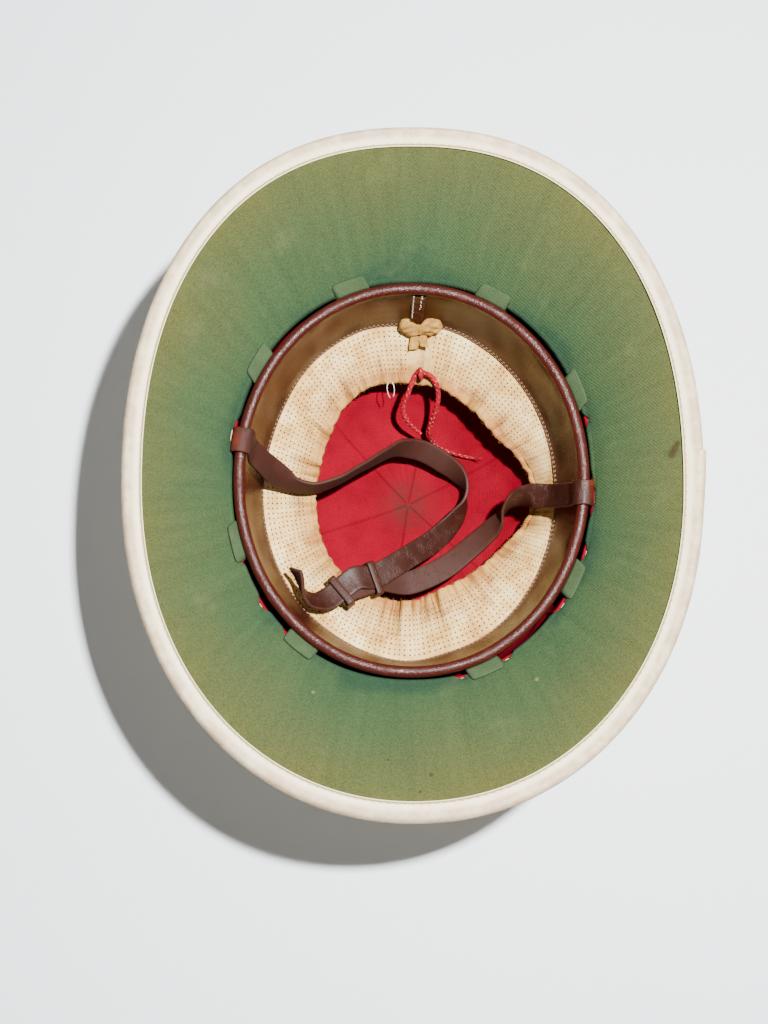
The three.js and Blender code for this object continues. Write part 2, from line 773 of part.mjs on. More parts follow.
function piece(name, geometry, finish) {
  const mesh = new THREE.Mesh(geometry, finish);
  mesh.name = name;
  helmet.add(mesh);
}

piece('crown_shell', crownGeometry(), finishes.creamCloth);
piece('brim_shell', brimGeometry(), finishes.creamCloth);
piece('crown_lining', crownLiningGeometry(), finishes.redCloth);
piece('brim_lining', brimLiningGeometry(), finishes.greenCloth);
piece('rim_binding', bindingGeometry(), finishes.creamTape);
piece('crown_band', crownBandGeometry(), finishes.creamCloth);
piece('vent_button', buttonGeometry(), finishes.creamCloth);
piece('sweatband', sweatbandGeometry(), finishes.brownLeather);
piece('sweatband_seam', seamGeometry(), finishes.brownLeather);
piece('sweatband_bow', bowGeometry(), finishes.ribbon);
piece('mesh_liner', meshGeometry(), finishes.meshCotton);
piece('drawstring', cordGeometry(drawstringRoute), finishes.redCord);
piece('drawstring_end', cordGeometry(drawstringEndRoute), finishes.redCord);
spacerBearings.forEach((bearing, i) => piece(`spacer_${i + 1}`, spacerGeometry(bearing), finishes.greenFelt));

// The right strip runs under the left one, straight through both keepers, and ends past the second
const leftRows = strapRows(beadLoop(leftStrapBearing, 0), leftStrapTable);
const leftFrames = strapFrames(leftRows);
const loopRows = leftRows.length - leftStrapTable.length;
const keeperFrames = keeperRows.map((row) => leftFrames[(loopRows + row) * stepsPerRow]);
const rightRows = strapRows(beadLoop(rightStrapBearing, -180), rightStrapTable);
keeperFrames.forEach((frame, i) => {
  const heading = frame.direction.clone().setZ(0).normalize();
  const roll = leftStrapTable[keeperRows[i]].roll + 180;
  for (const reach of [-rightStrapEnd, rightStrapEnd]) {
    const point = frame.centre.clone()
      .addScaledVector(frame.grain, -strapWall - clearance)
      .addScaledVector(frame.across, strapSlip)
      .addScaledVector(frame.direction, reach);
    rightRows.push({ point, heading, roll });
  }
});
piece('chin_strap_left', strapGeometry(leftFrames), finishes.strapLeather);
piece('chin_strap_right', strapGeometry(strapFrames(rightRows)), finishes.strapLeather);
piece('strap_keeper_1', keeperGeometry(keeperFrames[0]), finishes.strapLeather);
piece('strap_keeper_2', keeperGeometry(keeperFrames[1]), finishes.strapLeather);

export default helmet;
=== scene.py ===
"""A pith helmet lying upside down, dressed in cloth, tape, leather, felt and cord.

Each class holds the sizes of one sub-assembly in millimetres, builds its surfaces as whole numpy
arrays, and dresses them. Lengths become metres only when a mesh is made.
"""

from __future__ import annotations

import logging
import math
from collections.abc import Callable, Sequence
from dataclasses import dataclass, field
from enum import Enum
from typing import Any

import bpy
import numpy as np
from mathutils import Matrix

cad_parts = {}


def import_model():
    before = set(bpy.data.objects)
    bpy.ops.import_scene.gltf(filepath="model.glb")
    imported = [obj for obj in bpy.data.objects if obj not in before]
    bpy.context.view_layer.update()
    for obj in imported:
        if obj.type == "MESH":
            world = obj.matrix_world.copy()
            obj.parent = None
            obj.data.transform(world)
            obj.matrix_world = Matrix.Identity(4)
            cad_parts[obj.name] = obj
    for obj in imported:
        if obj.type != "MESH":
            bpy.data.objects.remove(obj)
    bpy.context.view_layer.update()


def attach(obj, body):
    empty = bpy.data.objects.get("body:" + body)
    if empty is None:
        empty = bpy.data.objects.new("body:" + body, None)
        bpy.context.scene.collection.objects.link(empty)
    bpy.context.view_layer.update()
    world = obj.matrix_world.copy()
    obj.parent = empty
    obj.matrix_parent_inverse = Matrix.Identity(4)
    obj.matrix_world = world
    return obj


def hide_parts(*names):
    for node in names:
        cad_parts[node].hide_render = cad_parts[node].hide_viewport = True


Array = np.ndarray
Face = Callable[[Array, Any], Array]
Table = tuple[tuple[float, ...], ...]

MM = 0.001
TAU = 2.0 * math.pi
UP = np.array([0.0, 0.0, 1.0])
LEVEL = np.array([1.0, 1.0, 0.0])
LOG = logging.getLogger("pith_helmet")


# Small helpers for whole arrays of points


def point(x: Any, y: Any, z: Any) -> Array:
    """Stacks three coordinates, spread to one shape, into points."""
    return np.stack(np.broadcast_arrays(x, y, z), axis=-1).astype(float)


def unit(vectors: Array) -> Array:
    """Scales vectors to length one."""
    return vectors / np.linalg.norm(vectors, axis=-1, keepdims=True)


def turns(count: int) -> Array:
    """Angles of a closed ring, evenly spaced from zero."""
    return np.linspace(0.0, TAU, count, endpoint=False)


def ease(low: float, high: float, value: Array) -> Array:
    """Rises smoothly from 0 at low to 1 at high, as 3 t squared less 2 t cubed."""
    t = np.clip((value - low) / (high - low), 0.0, 1.0)
    return t * t * (3.0 - 2.0 * t)


def spread(value: Any) -> Array:
    """A number, or one for each point, shaped so that it multiplies points."""
    numbers = np.asarray(value, dtype=float)
    return numbers[..., None] if numbers.ndim else numbers


def lean(first: Array, second: Array, share: Any) -> Array:
    """Mixes two arrays of points by a share, or by one share per point."""
    return first + (second - first) * spread(share)


def soft_square(turn: Array, wide: Any, deep: Any) -> tuple[Array, Array]:
    """A circle squared off: cosine and sine, each raised to its own power with its sign kept."""
    across, along = np.cos(turn), np.sin(turn)
    return np.sign(across) * np.abs(across) ** wide, np.sign(along) * np.abs(along) ** deep


def chords(points: Array) -> Array:
    """The way from the point before each point to the one after it, ends counting twice."""
    return np.vstack([points[1:], points[-1:]]) - np.vstack([points[:1], points[:-1]])


def cubic(t: Array, start: Array, end: Array, leave: Array, reach: Array) -> Array:
    """The cubic from start to end whose slopes there are leave and reach, by Hermite's weights."""
    total = (2 * t**3 - 3 * t**2 + 1) * start + (t**3 - 2 * t**2 + t) * leave
    return total + ((3 * t**2 - 2 * t**3) * end + (t**3 - t**2) * reach)


def ripple(
    angle: Array, share: Any, waves: tuple[int, int], rises: tuple[float, float], seed: int
) -> Array:
    """A smooth wandering height of about -1 to 1 that closes round the head.

    The sum of eight cosines of a whole number times the angle plus a number times the share plus
    a phase, divided by the square root of eight.

    Args:
        angle: bearings in radians.
        share: the second coordinate.
        waves: the least and most waves round the head.
        rises: the least and most radians that a wave turns per unit of share.
        seed: fixes the waves.

    Returns:
        The heights.
    """
    chance = np.random.default_rng(seed)
    total = np.zeros(np.broadcast(angle, share).shape)
    for _ in range(8):
        count = chance.integers(waves[0], waves[1] + 1) * chance.choice([-1, 1])
        total += np.cos(count * angle + chance.uniform(*rises) * share + chance.uniform(0.0, TAU))
    return total / math.sqrt(8.0)


def around(table: Sequence[float], angle: Array) -> Array:
    """Values at evenly spaced bearings, joined by cubics whose slopes come from the rows beside."""
    rows = np.asarray(table)
    spot = np.mod(angle / TAU, 1.0) * len(rows)
    row = np.floor(spot).astype(int)
    before, here, there, after = (rows[(row + k) % len(rows)] for k in (-1, 0, 1, 2))
    return cubic(spot - row, here, there, (there - before) / 2.0, (after - here) / 2.0)


def near_bearing(angle: Array, bearings: Table) -> Array:
    """1 at bearings in degrees, falling smoothly to 0 at each one's own reach in degrees."""
    total = np.zeros_like(angle)
    for bearing, reach in bearings:
        away = np.abs(np.mod(angle - math.radians(bearing) + math.pi, TAU) - math.pi)
        total = np.maximum(total, 1.0 - ease(0.0, math.radians(reach) * 1.2, away))
    return total


def smooth_path(points: Sequence[Sequence[float]], steps: int) -> tuple[Array, Array]:
    """Follows points as a centripetal Catmull-Rom curve.

    Between two points the curve is the cubic whose end slopes come from the chords beside it,
    each chord weighted by the square root of its length.

    Args:
        points: the points that the curve passes through.
        steps: samples between two points.

    Returns:
        The places along the curve and their unit directions.
    """
    known = np.asarray(points, dtype=float)
    padded = np.vstack([2 * known[0] - known[1], known, 2 * known[-1] - known[-2]])
    a, b, c, d = padded[:-3], padded[1:-2], padded[2:-1], padded[3:]

    def knot(start: Array, end: Array) -> Array:
        """The square root of the chord between two points."""
        return np.sqrt(np.maximum(np.linalg.norm(end - start, axis=1, keepdims=True), 1e-6))

    before, here, after = knot(a, b), knot(b, c), knot(c, d)
    leave = ((b - a) / before - (c - a) / (before + here) + (c - b) / here) * here
    reach = ((c - b) / here - (d - b) / (here + after) + (d - c) / after) * here
    t = (np.arange(steps) / steps)[None, :, None]
    b, c, leave_at, reach_at = b[:, None], c[:, None], leave[:, None], reach[:, None]
    slopes = (6 * t**2 - 6 * t) * (b - c)
    slopes += (3 * t**2 - 4 * t + 1) * leave_at + (3 * t**2 - 2 * t) * reach_at
    places = np.vstack([cubic(t, b, c, leave_at, reach_at).reshape(-1, 3), known[-1]])
    return places, unit(np.vstack([slopes.reshape(-1, 3), reach[-1]]))


def even_angles(curve: Callable[[Array], Array], pitch: float) -> Array:
    """Angles at which marks sit on a closed curve at one pitch along it.

    Args:
        curve: gives a point for each angle.
        pitch: the wanted distance between marks.

    Returns:
        The angles, from zero on.
    """
    angle = np.linspace(0.0, TAU, 2401)
    steps = np.linalg.norm(np.diff(curve(angle), axis=0), axis=1)
    length = np.concatenate([[0.0], np.cumsum(steps)])
    count = max(int(round(length[-1] / pitch)), 3)
    return np.interp(np.arange(count) * length[-1] / count, length, angle)


# The form of the helmet


@dataclass(frozen=True)
class HelmetForm:
    """The sizes and faces that every sub-assembly is set against, in millimetres."""

    rim_half_width: float = 144.5
    rim_half_length: float = 173.5
    rim_fullness: tuple[float, float] = (2.1, 2.28)
    rim_inset: float = 2.5
    side_rise: float = 33.0
    end_rise: float = 40.0
    brim_sweep: float = 3.0
    brim_wall: float = 4.2
    opening_half_width: float = 94.8
    opening_half_length: float = 106.0
    opening_fullness: float = 2.16
    opening_level: float = 114.5
    crown_depth: float = 98.0
    crown_wall: float = 8.5
    dome_fullness: float = 2.2
    head_half_width: float = 88.8
    head_half_length: float = 100.0
    head_fullness: float = 2.04
    bead_radius: float = 3.0
    bead_level: float = 115.0
    band_height: float = 42.0
    band_wall: float = 1.6
    band_lean: float = 9.2
    band_lean_back: float = 7.2
    band_shift: float = -0.6
    band_bulge: float = 1.2
    edge_pushes: tuple[float, ...] = (
        0.0, 0.2, 0.2, 0.0, 0.0, 0.4, -1.0, 1.0, 1.2, 0.8, -0.6, -0.8,
        0.0, 0.2, 0.2, -0.2, -0.9, -0.5, 0.2, -1.2, -0.3, 0.2, 0.2, 0.2,
    )
    mesh_drop: float = 14.0
    hem_reaches: tuple[float, ...] = (
        0.88, 0.716, 0.692, 0.695, 0.71, 0.673, 0.663, 0.681, 0.674, 0.653, 0.633, 0.714,
    )
    gather_height: float = 1.5
    lining_level: float = 17.8
    cloth: float = 1.0
    clearance: float = 0.3

    @staticmethod
    def outline(angle: Array, half_width: Any, half_length: Any, fullness: Any) -> Array:
        """A superellipse: cosine and sine, powered by two over the fullness, times the half sizes."""
        across, along = soft_square(angle, 2.0 / fullness, 2.0 / fullness)
        return np.stack(np.broadcast_arrays(half_width * across, half_length * along), axis=-1)

    def opening(self, angle: Array, offset: Any = 0.0) -> Array:
        """The outline of the crown's opening, grown by an offset."""
        half_length = self.opening_half_length + offset
        return self.outline(angle, self.opening_half_width + offset, half_length, self.opening_fullness)

    def dome(self, angle: Array, latitude: Any, offset: Any) -> Array:
        """The crown: an outline shrunk by the latitude's cosine and sunk by its sine, both powered."""
        reach = np.cos(latitude) ** (2.0 / self.dome_fullness)
        drop = np.sin(latitude) ** (2.0 / self.dome_fullness)
        plan = self.opening(angle, offset) * np.asarray(reach)[..., None]
        return point(plan[..., 0], plan[..., 1], self.opening_level - (self.crown_depth + offset) * drop)

    def latitude_at(self, level: Any, offset: Any) -> Array:
        """The latitude at which the crown passes a level."""
        share = (self.opening_level - level) / (self.crown_depth + offset)
        return np.arcsin(share ** (self.dome_fullness / 2.0))

    def dome_at(self, angle: Array, level: Any, offset: Any) -> Array:
        """The crown where it passes a level."""
        return self.dome(angle, self.latitude_at(level, offset), offset)

    def green(self, angle: Array, share: Any) -> Array:
        """The brim's green face: a straight line from opening to edge, swept up by a parabola."""
        back = (1.0 + np.sin(angle)) / 2.0
        fullness = self.rim_fullness[0] + (self.rim_fullness[1] - self.rim_fullness[0]) * back
        half_length = self.rim_half_length - self.rim_inset
        end = self.outline(angle, self.rim_half_width - self.rim_inset, half_length, fullness)
        rise = self.side_rise + (self.end_rise - self.side_rise) * np.sin(angle) ** 2
        plan = lean(self.opening(angle), end, share)
        level = self.opening_level + rise * share + 4.0 * self.brim_sweep * share * (1.0 - share)
        return point(plan[..., 0], plan[..., 1], level)

    @staticmethod
    def normal(face: Face, angle: Array, share: Any, towards: Array) -> Array:
        """The unit normal of a face: the cross product of its two slopes, turned towards a side."""
        step = 1e-3
        turning = face(angle + step, share) - face(angle - step, share)
        along = face(angle, share + step) - face(angle, share - step)
        across = unit(np.cross(turning, along))
        side = np.sum(across * towards, axis=-1, keepdims=True)
        return np.where(side < 0.0, -across, across)

    @staticmethod
    def width(face: Face, angle: Array) -> Array:
        """How wide a face is, in a straight line from its start to its end."""
        return np.linalg.norm(face(angle, 1.0) - face(angle, 0.0), axis=-1)

    def green_offset(self, angle: Array, share: Any, distance: Any) -> Array:
        """The green face, moved along its normal."""
        return self.green(angle, share) + self.normal(self.green, angle, share, UP) * spread(distance)

    def cloth_face(self, angle: Array, share: Any) -> Array:
        """The brim's cloth face: from the crown's foot to the edge, swept up by the same parabola."""
        start = self.dome(angle, 0.0, self.crown_wall)
        face = lean(start, self.green_offset(angle, 1.0, -self.brim_wall), share)
        face[..., 2] += 4.0 * self.brim_sweep * share * (1.0 - share)
        return face

    def cloth_offset(self, angle: Array, share: Any, distance: float) -> Array:
        """The cloth face, moved outwards along its normal."""
        return self.cloth_face(angle, share) + self.normal(self.cloth_face, angle, share, -UP) * distance

    def band(self, angle: Array, share: Any) -> Array:
        """The middle of the sweatband's wall: from bead to deep edge, bulged out by half a sine.

        The edge's own pushes grow with the square of the share.
        """
        top = self.outline(angle, self.head_half_width, self.head_half_length, self.head_fullness)
        half_length = self.head_half_length - self.band_lean_back
        deep = self.outline(angle, self.head_half_width - self.band_lean, half_length, 2.0)
        deep = deep + np.array([self.band_shift, 0.0])
        push = self.band_bulge * np.sin(math.pi * share)
        push = push + around(self.edge_pushes, angle) * np.clip(share, 0.0, 1.0) ** 2
        plan = lean(top, deep, share) + unit(top) * push[..., None]
        return point(plan[..., 0], plan[..., 1], self.bead_level - self.band_height * share)

    def band_frame(self, angle: Array, share: Any) -> tuple[Array, Array]:
        """The band's outward direction and its direction towards the bead."""
        outward = self.normal(self.band, angle, share, self.band(angle, share) * LEVEL)
        return outward, unit(self.band(angle, share - 0.01) - self.band(angle, share + 0.01))

    def band_offset(self, angle: Array, share: Any, distance: Any) -> Array:
        """The band's middle, moved outwards."""
        return self.band(angle, share) + self.band_frame(angle, share)[0] * spread(distance)

    def mesh(self, angle: Array, share: Any) -> Array:
        """The mesh's middle: from under the band to the hem, gathered by a wandering cosine."""
        edge = self.band(angle, 1.0)
        face = lean(edge, edge * spread(around(self.hem_reaches, angle)), share)
        gather = np.cos(16.0 * angle + 0.9 * np.sin(3.0 * angle))
        deep = self.bead_level - self.band_height - self.clearance - self.cloth
        face[..., 2] = deep - self.mesh_drop * share + self.gather_height * gather * share**2
        return face


FORM = HelmetForm()


def enter(name: str, data: bpy.types.ID) -> bpy.types.Object:
    """Makes an object of its data and puts it into the scene."""
    made = bpy.data.objects.new(name, data)
    bpy.context.scene.collection.objects.link(made)
    return made


# Meshes gathered from grids


def volume(points: Array, faces: Sequence[Array]) -> float:
    """Six times the signed volume inside faces, summed over their fans of triangles."""
    total = 0.0
    for group in faces:
        corners = points[group]
        for k in range(1, group.shape[1] - 1):
            total += np.sum(corners[:, 0] * np.cross(corners[:, k], corners[:, k + 1]))
    return float(total)


def arc(points: Array, axis: int, closes: bool) -> Array:
    """Mean distances along one axis of a grid, added up from zero, in millimetres."""
    ahead = np.roll(points, -1, axis=axis)
    steps = np.linalg.norm(ahead - points, axis=-1).mean(axis=1 - axis)
    steps = steps if closes else steps[:-1]
    return np.concatenate([[0.0], np.cumsum(steps)])


@dataclass
class Shape:
    """Points, faces, cloth coordinates and tones gathered for one mesh, in millimetres."""

    points: list[Array] = field(default_factory=list)
    faces: list[Array] = field(default_factory=list)
    weaves: list[Array] = field(default_factory=list)
    tones: list[Array] = field(default_factory=list)
    count: int = 0

    def add(self, points: Array, faces: Sequence[Array], weaves: Sequence[Array], tone: Any) -> None:
        """Adds one closed body, turned so that its faces point outwards."""
        if volume(points, faces) < 0.0:
            faces = [group[:, ::-1] for group in faces]
            weaves = [group[:, ::-1] for group in weaves]
        self.points.append(points)
        self.faces.extend(group + self.count for group in faces)
        self.weaves.extend(weaves)
        self.tones.append(np.broadcast_to(tone, (len(points),)).astype(float))
        self.count += len(points)

    def grid(
        self,
        points: Array,
        ring: bool = False,
        loop: bool = False,
        tone: Any = 0.0,
        poles: tuple[Array | None, Array | None] = (None, None),
        capped: bool = False,
    ) -> Shape:
        """Adds a sheet of quads over a grid of points.

        Args:
            points: rows by columns of points.
            ring: whether the last column joins the first.
            loop: whether the last row joins the first.
            tone: a number for each point, read by the finish.
            poles: a point that closes the first row, and one that closes the last.
            capped: whether the first and the last row are each filled by one face.

        Returns:
            The shape itself.
        """
        rows, columns = points.shape[:2]
        along, across = np.meshgrid(arc(points, 1, ring) * MM, arc(points, 0, loop) * MM)
        weave = np.stack([along, across], axis=-1)
        tones = np.broadcast_to(tone, (rows, columns)).reshape(-1)
        i, j = np.indices((rows if loop else rows - 1, columns if ring else columns - 1))
        corners = [(i, j), (i + 1, j), (i + 1, j + 1), (i, j + 1)]
        quads = np.stack([(a % rows) * columns + b % columns for a, b in corners], axis=-1).reshape(-1, 4)
        weaves = [np.stack([weave[a, b] for a, b in corners], axis=-2).reshape(-1, 4, 2)]
        faces = [quads]
        flat = [points.reshape(-1, 3)]
        for end, row in ((0, 0), (1, rows - 1)):
            pole = poles[end]
            if pole is None:
                continue
            j = np.arange(columns)
            tip = np.full(columns, rows * columns + len(flat) - 1)
            fan = np.stack([tip, row * columns + j, row * columns + (j + 1) % columns], axis=-1)
            middle = (weave[row, j] + weave[row, j + 1]) / 2
            corner = np.stack([middle, weave[row, j], weave[row, j + 1]], axis=1)
            faces.append(fan if end == 0 else fan[:, ::-1])
            weaves.append(corner if end == 0 else corner[:, ::-1])
            flat.append(np.asarray(pole, dtype=float).reshape(1, 3))
            tones = np.append(tones, tones[row * columns])
        if capped:
            for row, turn in ((0, 1), (rows - 1, -1)):
                faces.append((row * columns + np.arange(columns))[None, ::turn])
                weaves.append(weave[row, :columns][None, ::turn])
        self.add(np.concatenate(flat), faces, weaves, tones)
        return self

    def tube(self, places: Array, radius: Any, sides: int, reference: Sequence[float]) -> Shape:
        """Adds a closed tube: radius times the cosine and sine of two directions across a path.

        Args:
            places: the path.
            radius: one number, or one per place and side.
            sides: points round the tube.
            reference: a direction that the path never runs along.

        Returns:
            The shape itself.
        """
        ahead = unit(np.gradient(places, axis=0))
        first = unit(np.cross(ahead, reference))
        second = np.cross(ahead, first)
        turn = turns(sides)
        ring = first[:, None] * np.cos(turn)[None, :, None] + second[:, None] * np.sin(turn)[None, :, None]
        rows = places[:, None] + ring * np.broadcast_to(radius, ring.shape[:2])[..., None]
        return self.grid(rows, ring=True, capped=True)

    def scatter(self, base: Shape, centres: Array, axes: Array) -> Shape:
        """Adds one copy of a small shape at each centre.

        Each copy's points are its centre plus the base's coordinates times its three axes.

        Args:
            base: the shape to repeat.
            centres: one point per copy.
            axes: three vectors per copy.

        Returns:
            The shape itself.
        """
        small = np.concatenate(base.points)
        copies = len(centres)
        placed = centres[:, None] + np.einsum("kj,njc->nkc", small, axes)
        shift = (np.arange(copies) * len(small))[:, None, None]
        faces = [(group[None] + shift).reshape(-1, group.shape[1]) for group in base.faces]
        weaves = [np.tile(group, (copies, 1, 1)) for group in base.weaves]
        self.add(placed.reshape(-1, 3), faces, weaves, 0.0)
        return self

    def build(self, name: str, material: bpy.types.Material) -> bpy.types.Object:
        """Makes the mesh and its object, in metres, with its cloth coordinates and tones."""
        mesh = bpy.data.meshes.new(name)
        mesh.vertices.add(self.count)
        mesh.vertices.foreach_set("co", (np.concatenate(self.points) * MM).ravel())
        corners = np.concatenate([group.ravel() for group in self.faces])
        sizes = np.concatenate([np.full(len(group), group.shape[1]) for group in self.faces])
        mesh.loops.add(len(corners))
        mesh.loops.foreach_set("vertex_index", corners)
        mesh.polygons.add(len(sizes))
        mesh.polygons.foreach_set("loop_start", np.concatenate([[0], np.cumsum(sizes)[:-1]]))
        mesh.update(calc_edges=True)
        mesh.polygons.foreach_set("use_smooth", np.ones(len(sizes), dtype=bool))
        weaves = np.concatenate([group.reshape(-1, 2) for group in self.weaves])
        mesh.uv_layers.new(name="weave").data.foreach_set("uv", weaves.ravel())
        tone = mesh.attributes.new("tone", "FLOAT", "POINT")
        tone.data.foreach_set("value", np.concatenate(self.tones))
        mesh.validate(clean_customdata=False)
        mesh.update()
        mesh.materials.append(material)
        return enter(name, mesh)


def dash() -> Shape:
    """One stitch: an egg along x from -1 to 1, its radius the root of one less x squared."""
    x = np.array([-0.8, 0.0, 0.8])[:, None]
    turn = turns(6)[None, :]
    radius = np.sqrt(1.0 - x**2)
    body = point(x, radius * np.cos(turn), radius * np.sin(turn))
    return Shape().grid(body, ring=True, poles=(np.array([-1.0, 0.0, 0.0]), np.array([1.0, 0.0, 0.0])))


def strand() -> Shape:
    """One fibre: three-sided, from 0 to 1 along x, bending up as x squared and thinning as it goes."""
    x = np.linspace(0.0, 1.0, 5)[:, None]
    turn = turns(3)[None, :]
    radius = 1.0 - 0.6 * x
    body = point(x, radius * np.cos(turn), radius * np.sin(turn) + x**2)
    return Shape().grid(body, ring=True, capped=True)


def sew(
    shape: Shape,
    line: Callable[[Array], Array],
    normal: Callable[[Array], Array],
    pitch: float,
    size: Sequence[float],
    slant: float = 0.0,
) -> Shape:
    """Adds small stitches along a closed line.

    Args:
        shape: the shape to add them to.
        line: gives a point for each angle.
        normal: gives the way out of the cloth for each angle.
        pitch: the distance from one stitch to the next.
        size: half a stitch's length, width and height.
        slant: how far each leans across the line, as a share of its length.

    Returns:
        The shape.
    """
    angle = even_angles(line, pitch)
    away = normal(angle)
    ahead = unit(line(angle + 0.002) - line(angle - 0.002))
    ahead = unit(ahead + np.cross(away, ahead) * slant)
    axes = np.stack([ahead * size[0], np.cross(away, ahead) * size[1], away * size[2]], axis=1)
    return shape.scatter(dash(), line(angle), axes)


def fibre_axes(
    chance: np.random.Generator,
    towards: Array,
    stray: float,
    lengths: tuple[float, float],
    thin: float,
    count: int,
) -> Array:
    """Three axes for each of many fibres that point one way and stray from it.

    Args:
        chance: where the random draws come from.
        towards: the way that they point, for all or for each.
        stray: the spread of a normal draw that is added to it.
        lengths: the least and the greatest length.
        thin: the fibres' radius.
        count: how many there are.

    Returns:
        Three vectors per fibre.
    """
    first = unit(towards + chance.normal(0.0, stray, (count, 3)))
    second = unit(np.cross(first, chance.normal(0.0, 1.0, (count, 3))))
    long = chance.uniform(*lengths, count)[:, None]
    return np.stack([first * long, second * thin, np.cross(first, second) * thin], axis=1)


# Shader maths


def tint(code: str) -> tuple[float, float, float, float]:
    """A colour as the shader takes it, from its usual six-figure code."""
    parts = [int(code[k : k + 2], 16) / 255.0 for k in (1, 3, 5)]
    red, green, blue = (c / 12.92 if c <= 0.04045 else ((c + 0.055) / 1.055) ** 2.4 for c in parts)
    return red, green, blue, 1.0


def operator(name: str, turned: bool = False) -> Callable[[Value, Any], Value]:
    """A method that adds one Math node.

    Args:
        name: the node's operation.
        turned: whether the other value comes first, as in a reflected form.

    Returns:
        The method.
    """

    def method(self: Value, other: Any) -> Value:
        """The two values, put through the node."""
        return self.paint.math(name, *((other, self) if turned else (self, other)))

    return method


class Value:
    """A shader socket on which Python arithmetic adds Math nodes."""

    __add__ = operator("ADD")
    __radd__ = operator("ADD", True)
    __sub__ = operator("SUBTRACT")
    __rsub__ = operator("SUBTRACT", True)
    __mul__ = operator("MULTIPLY")
    __rmul__ = operator("MULTIPLY", True)
    __truediv__ = operator("DIVIDE")
    __pow__ = operator("POWER")

    def __init__(self, paint: Paint, socket: bpy.types.NodeSocket) -> None:
        self.paint = paint
        self.socket = socket


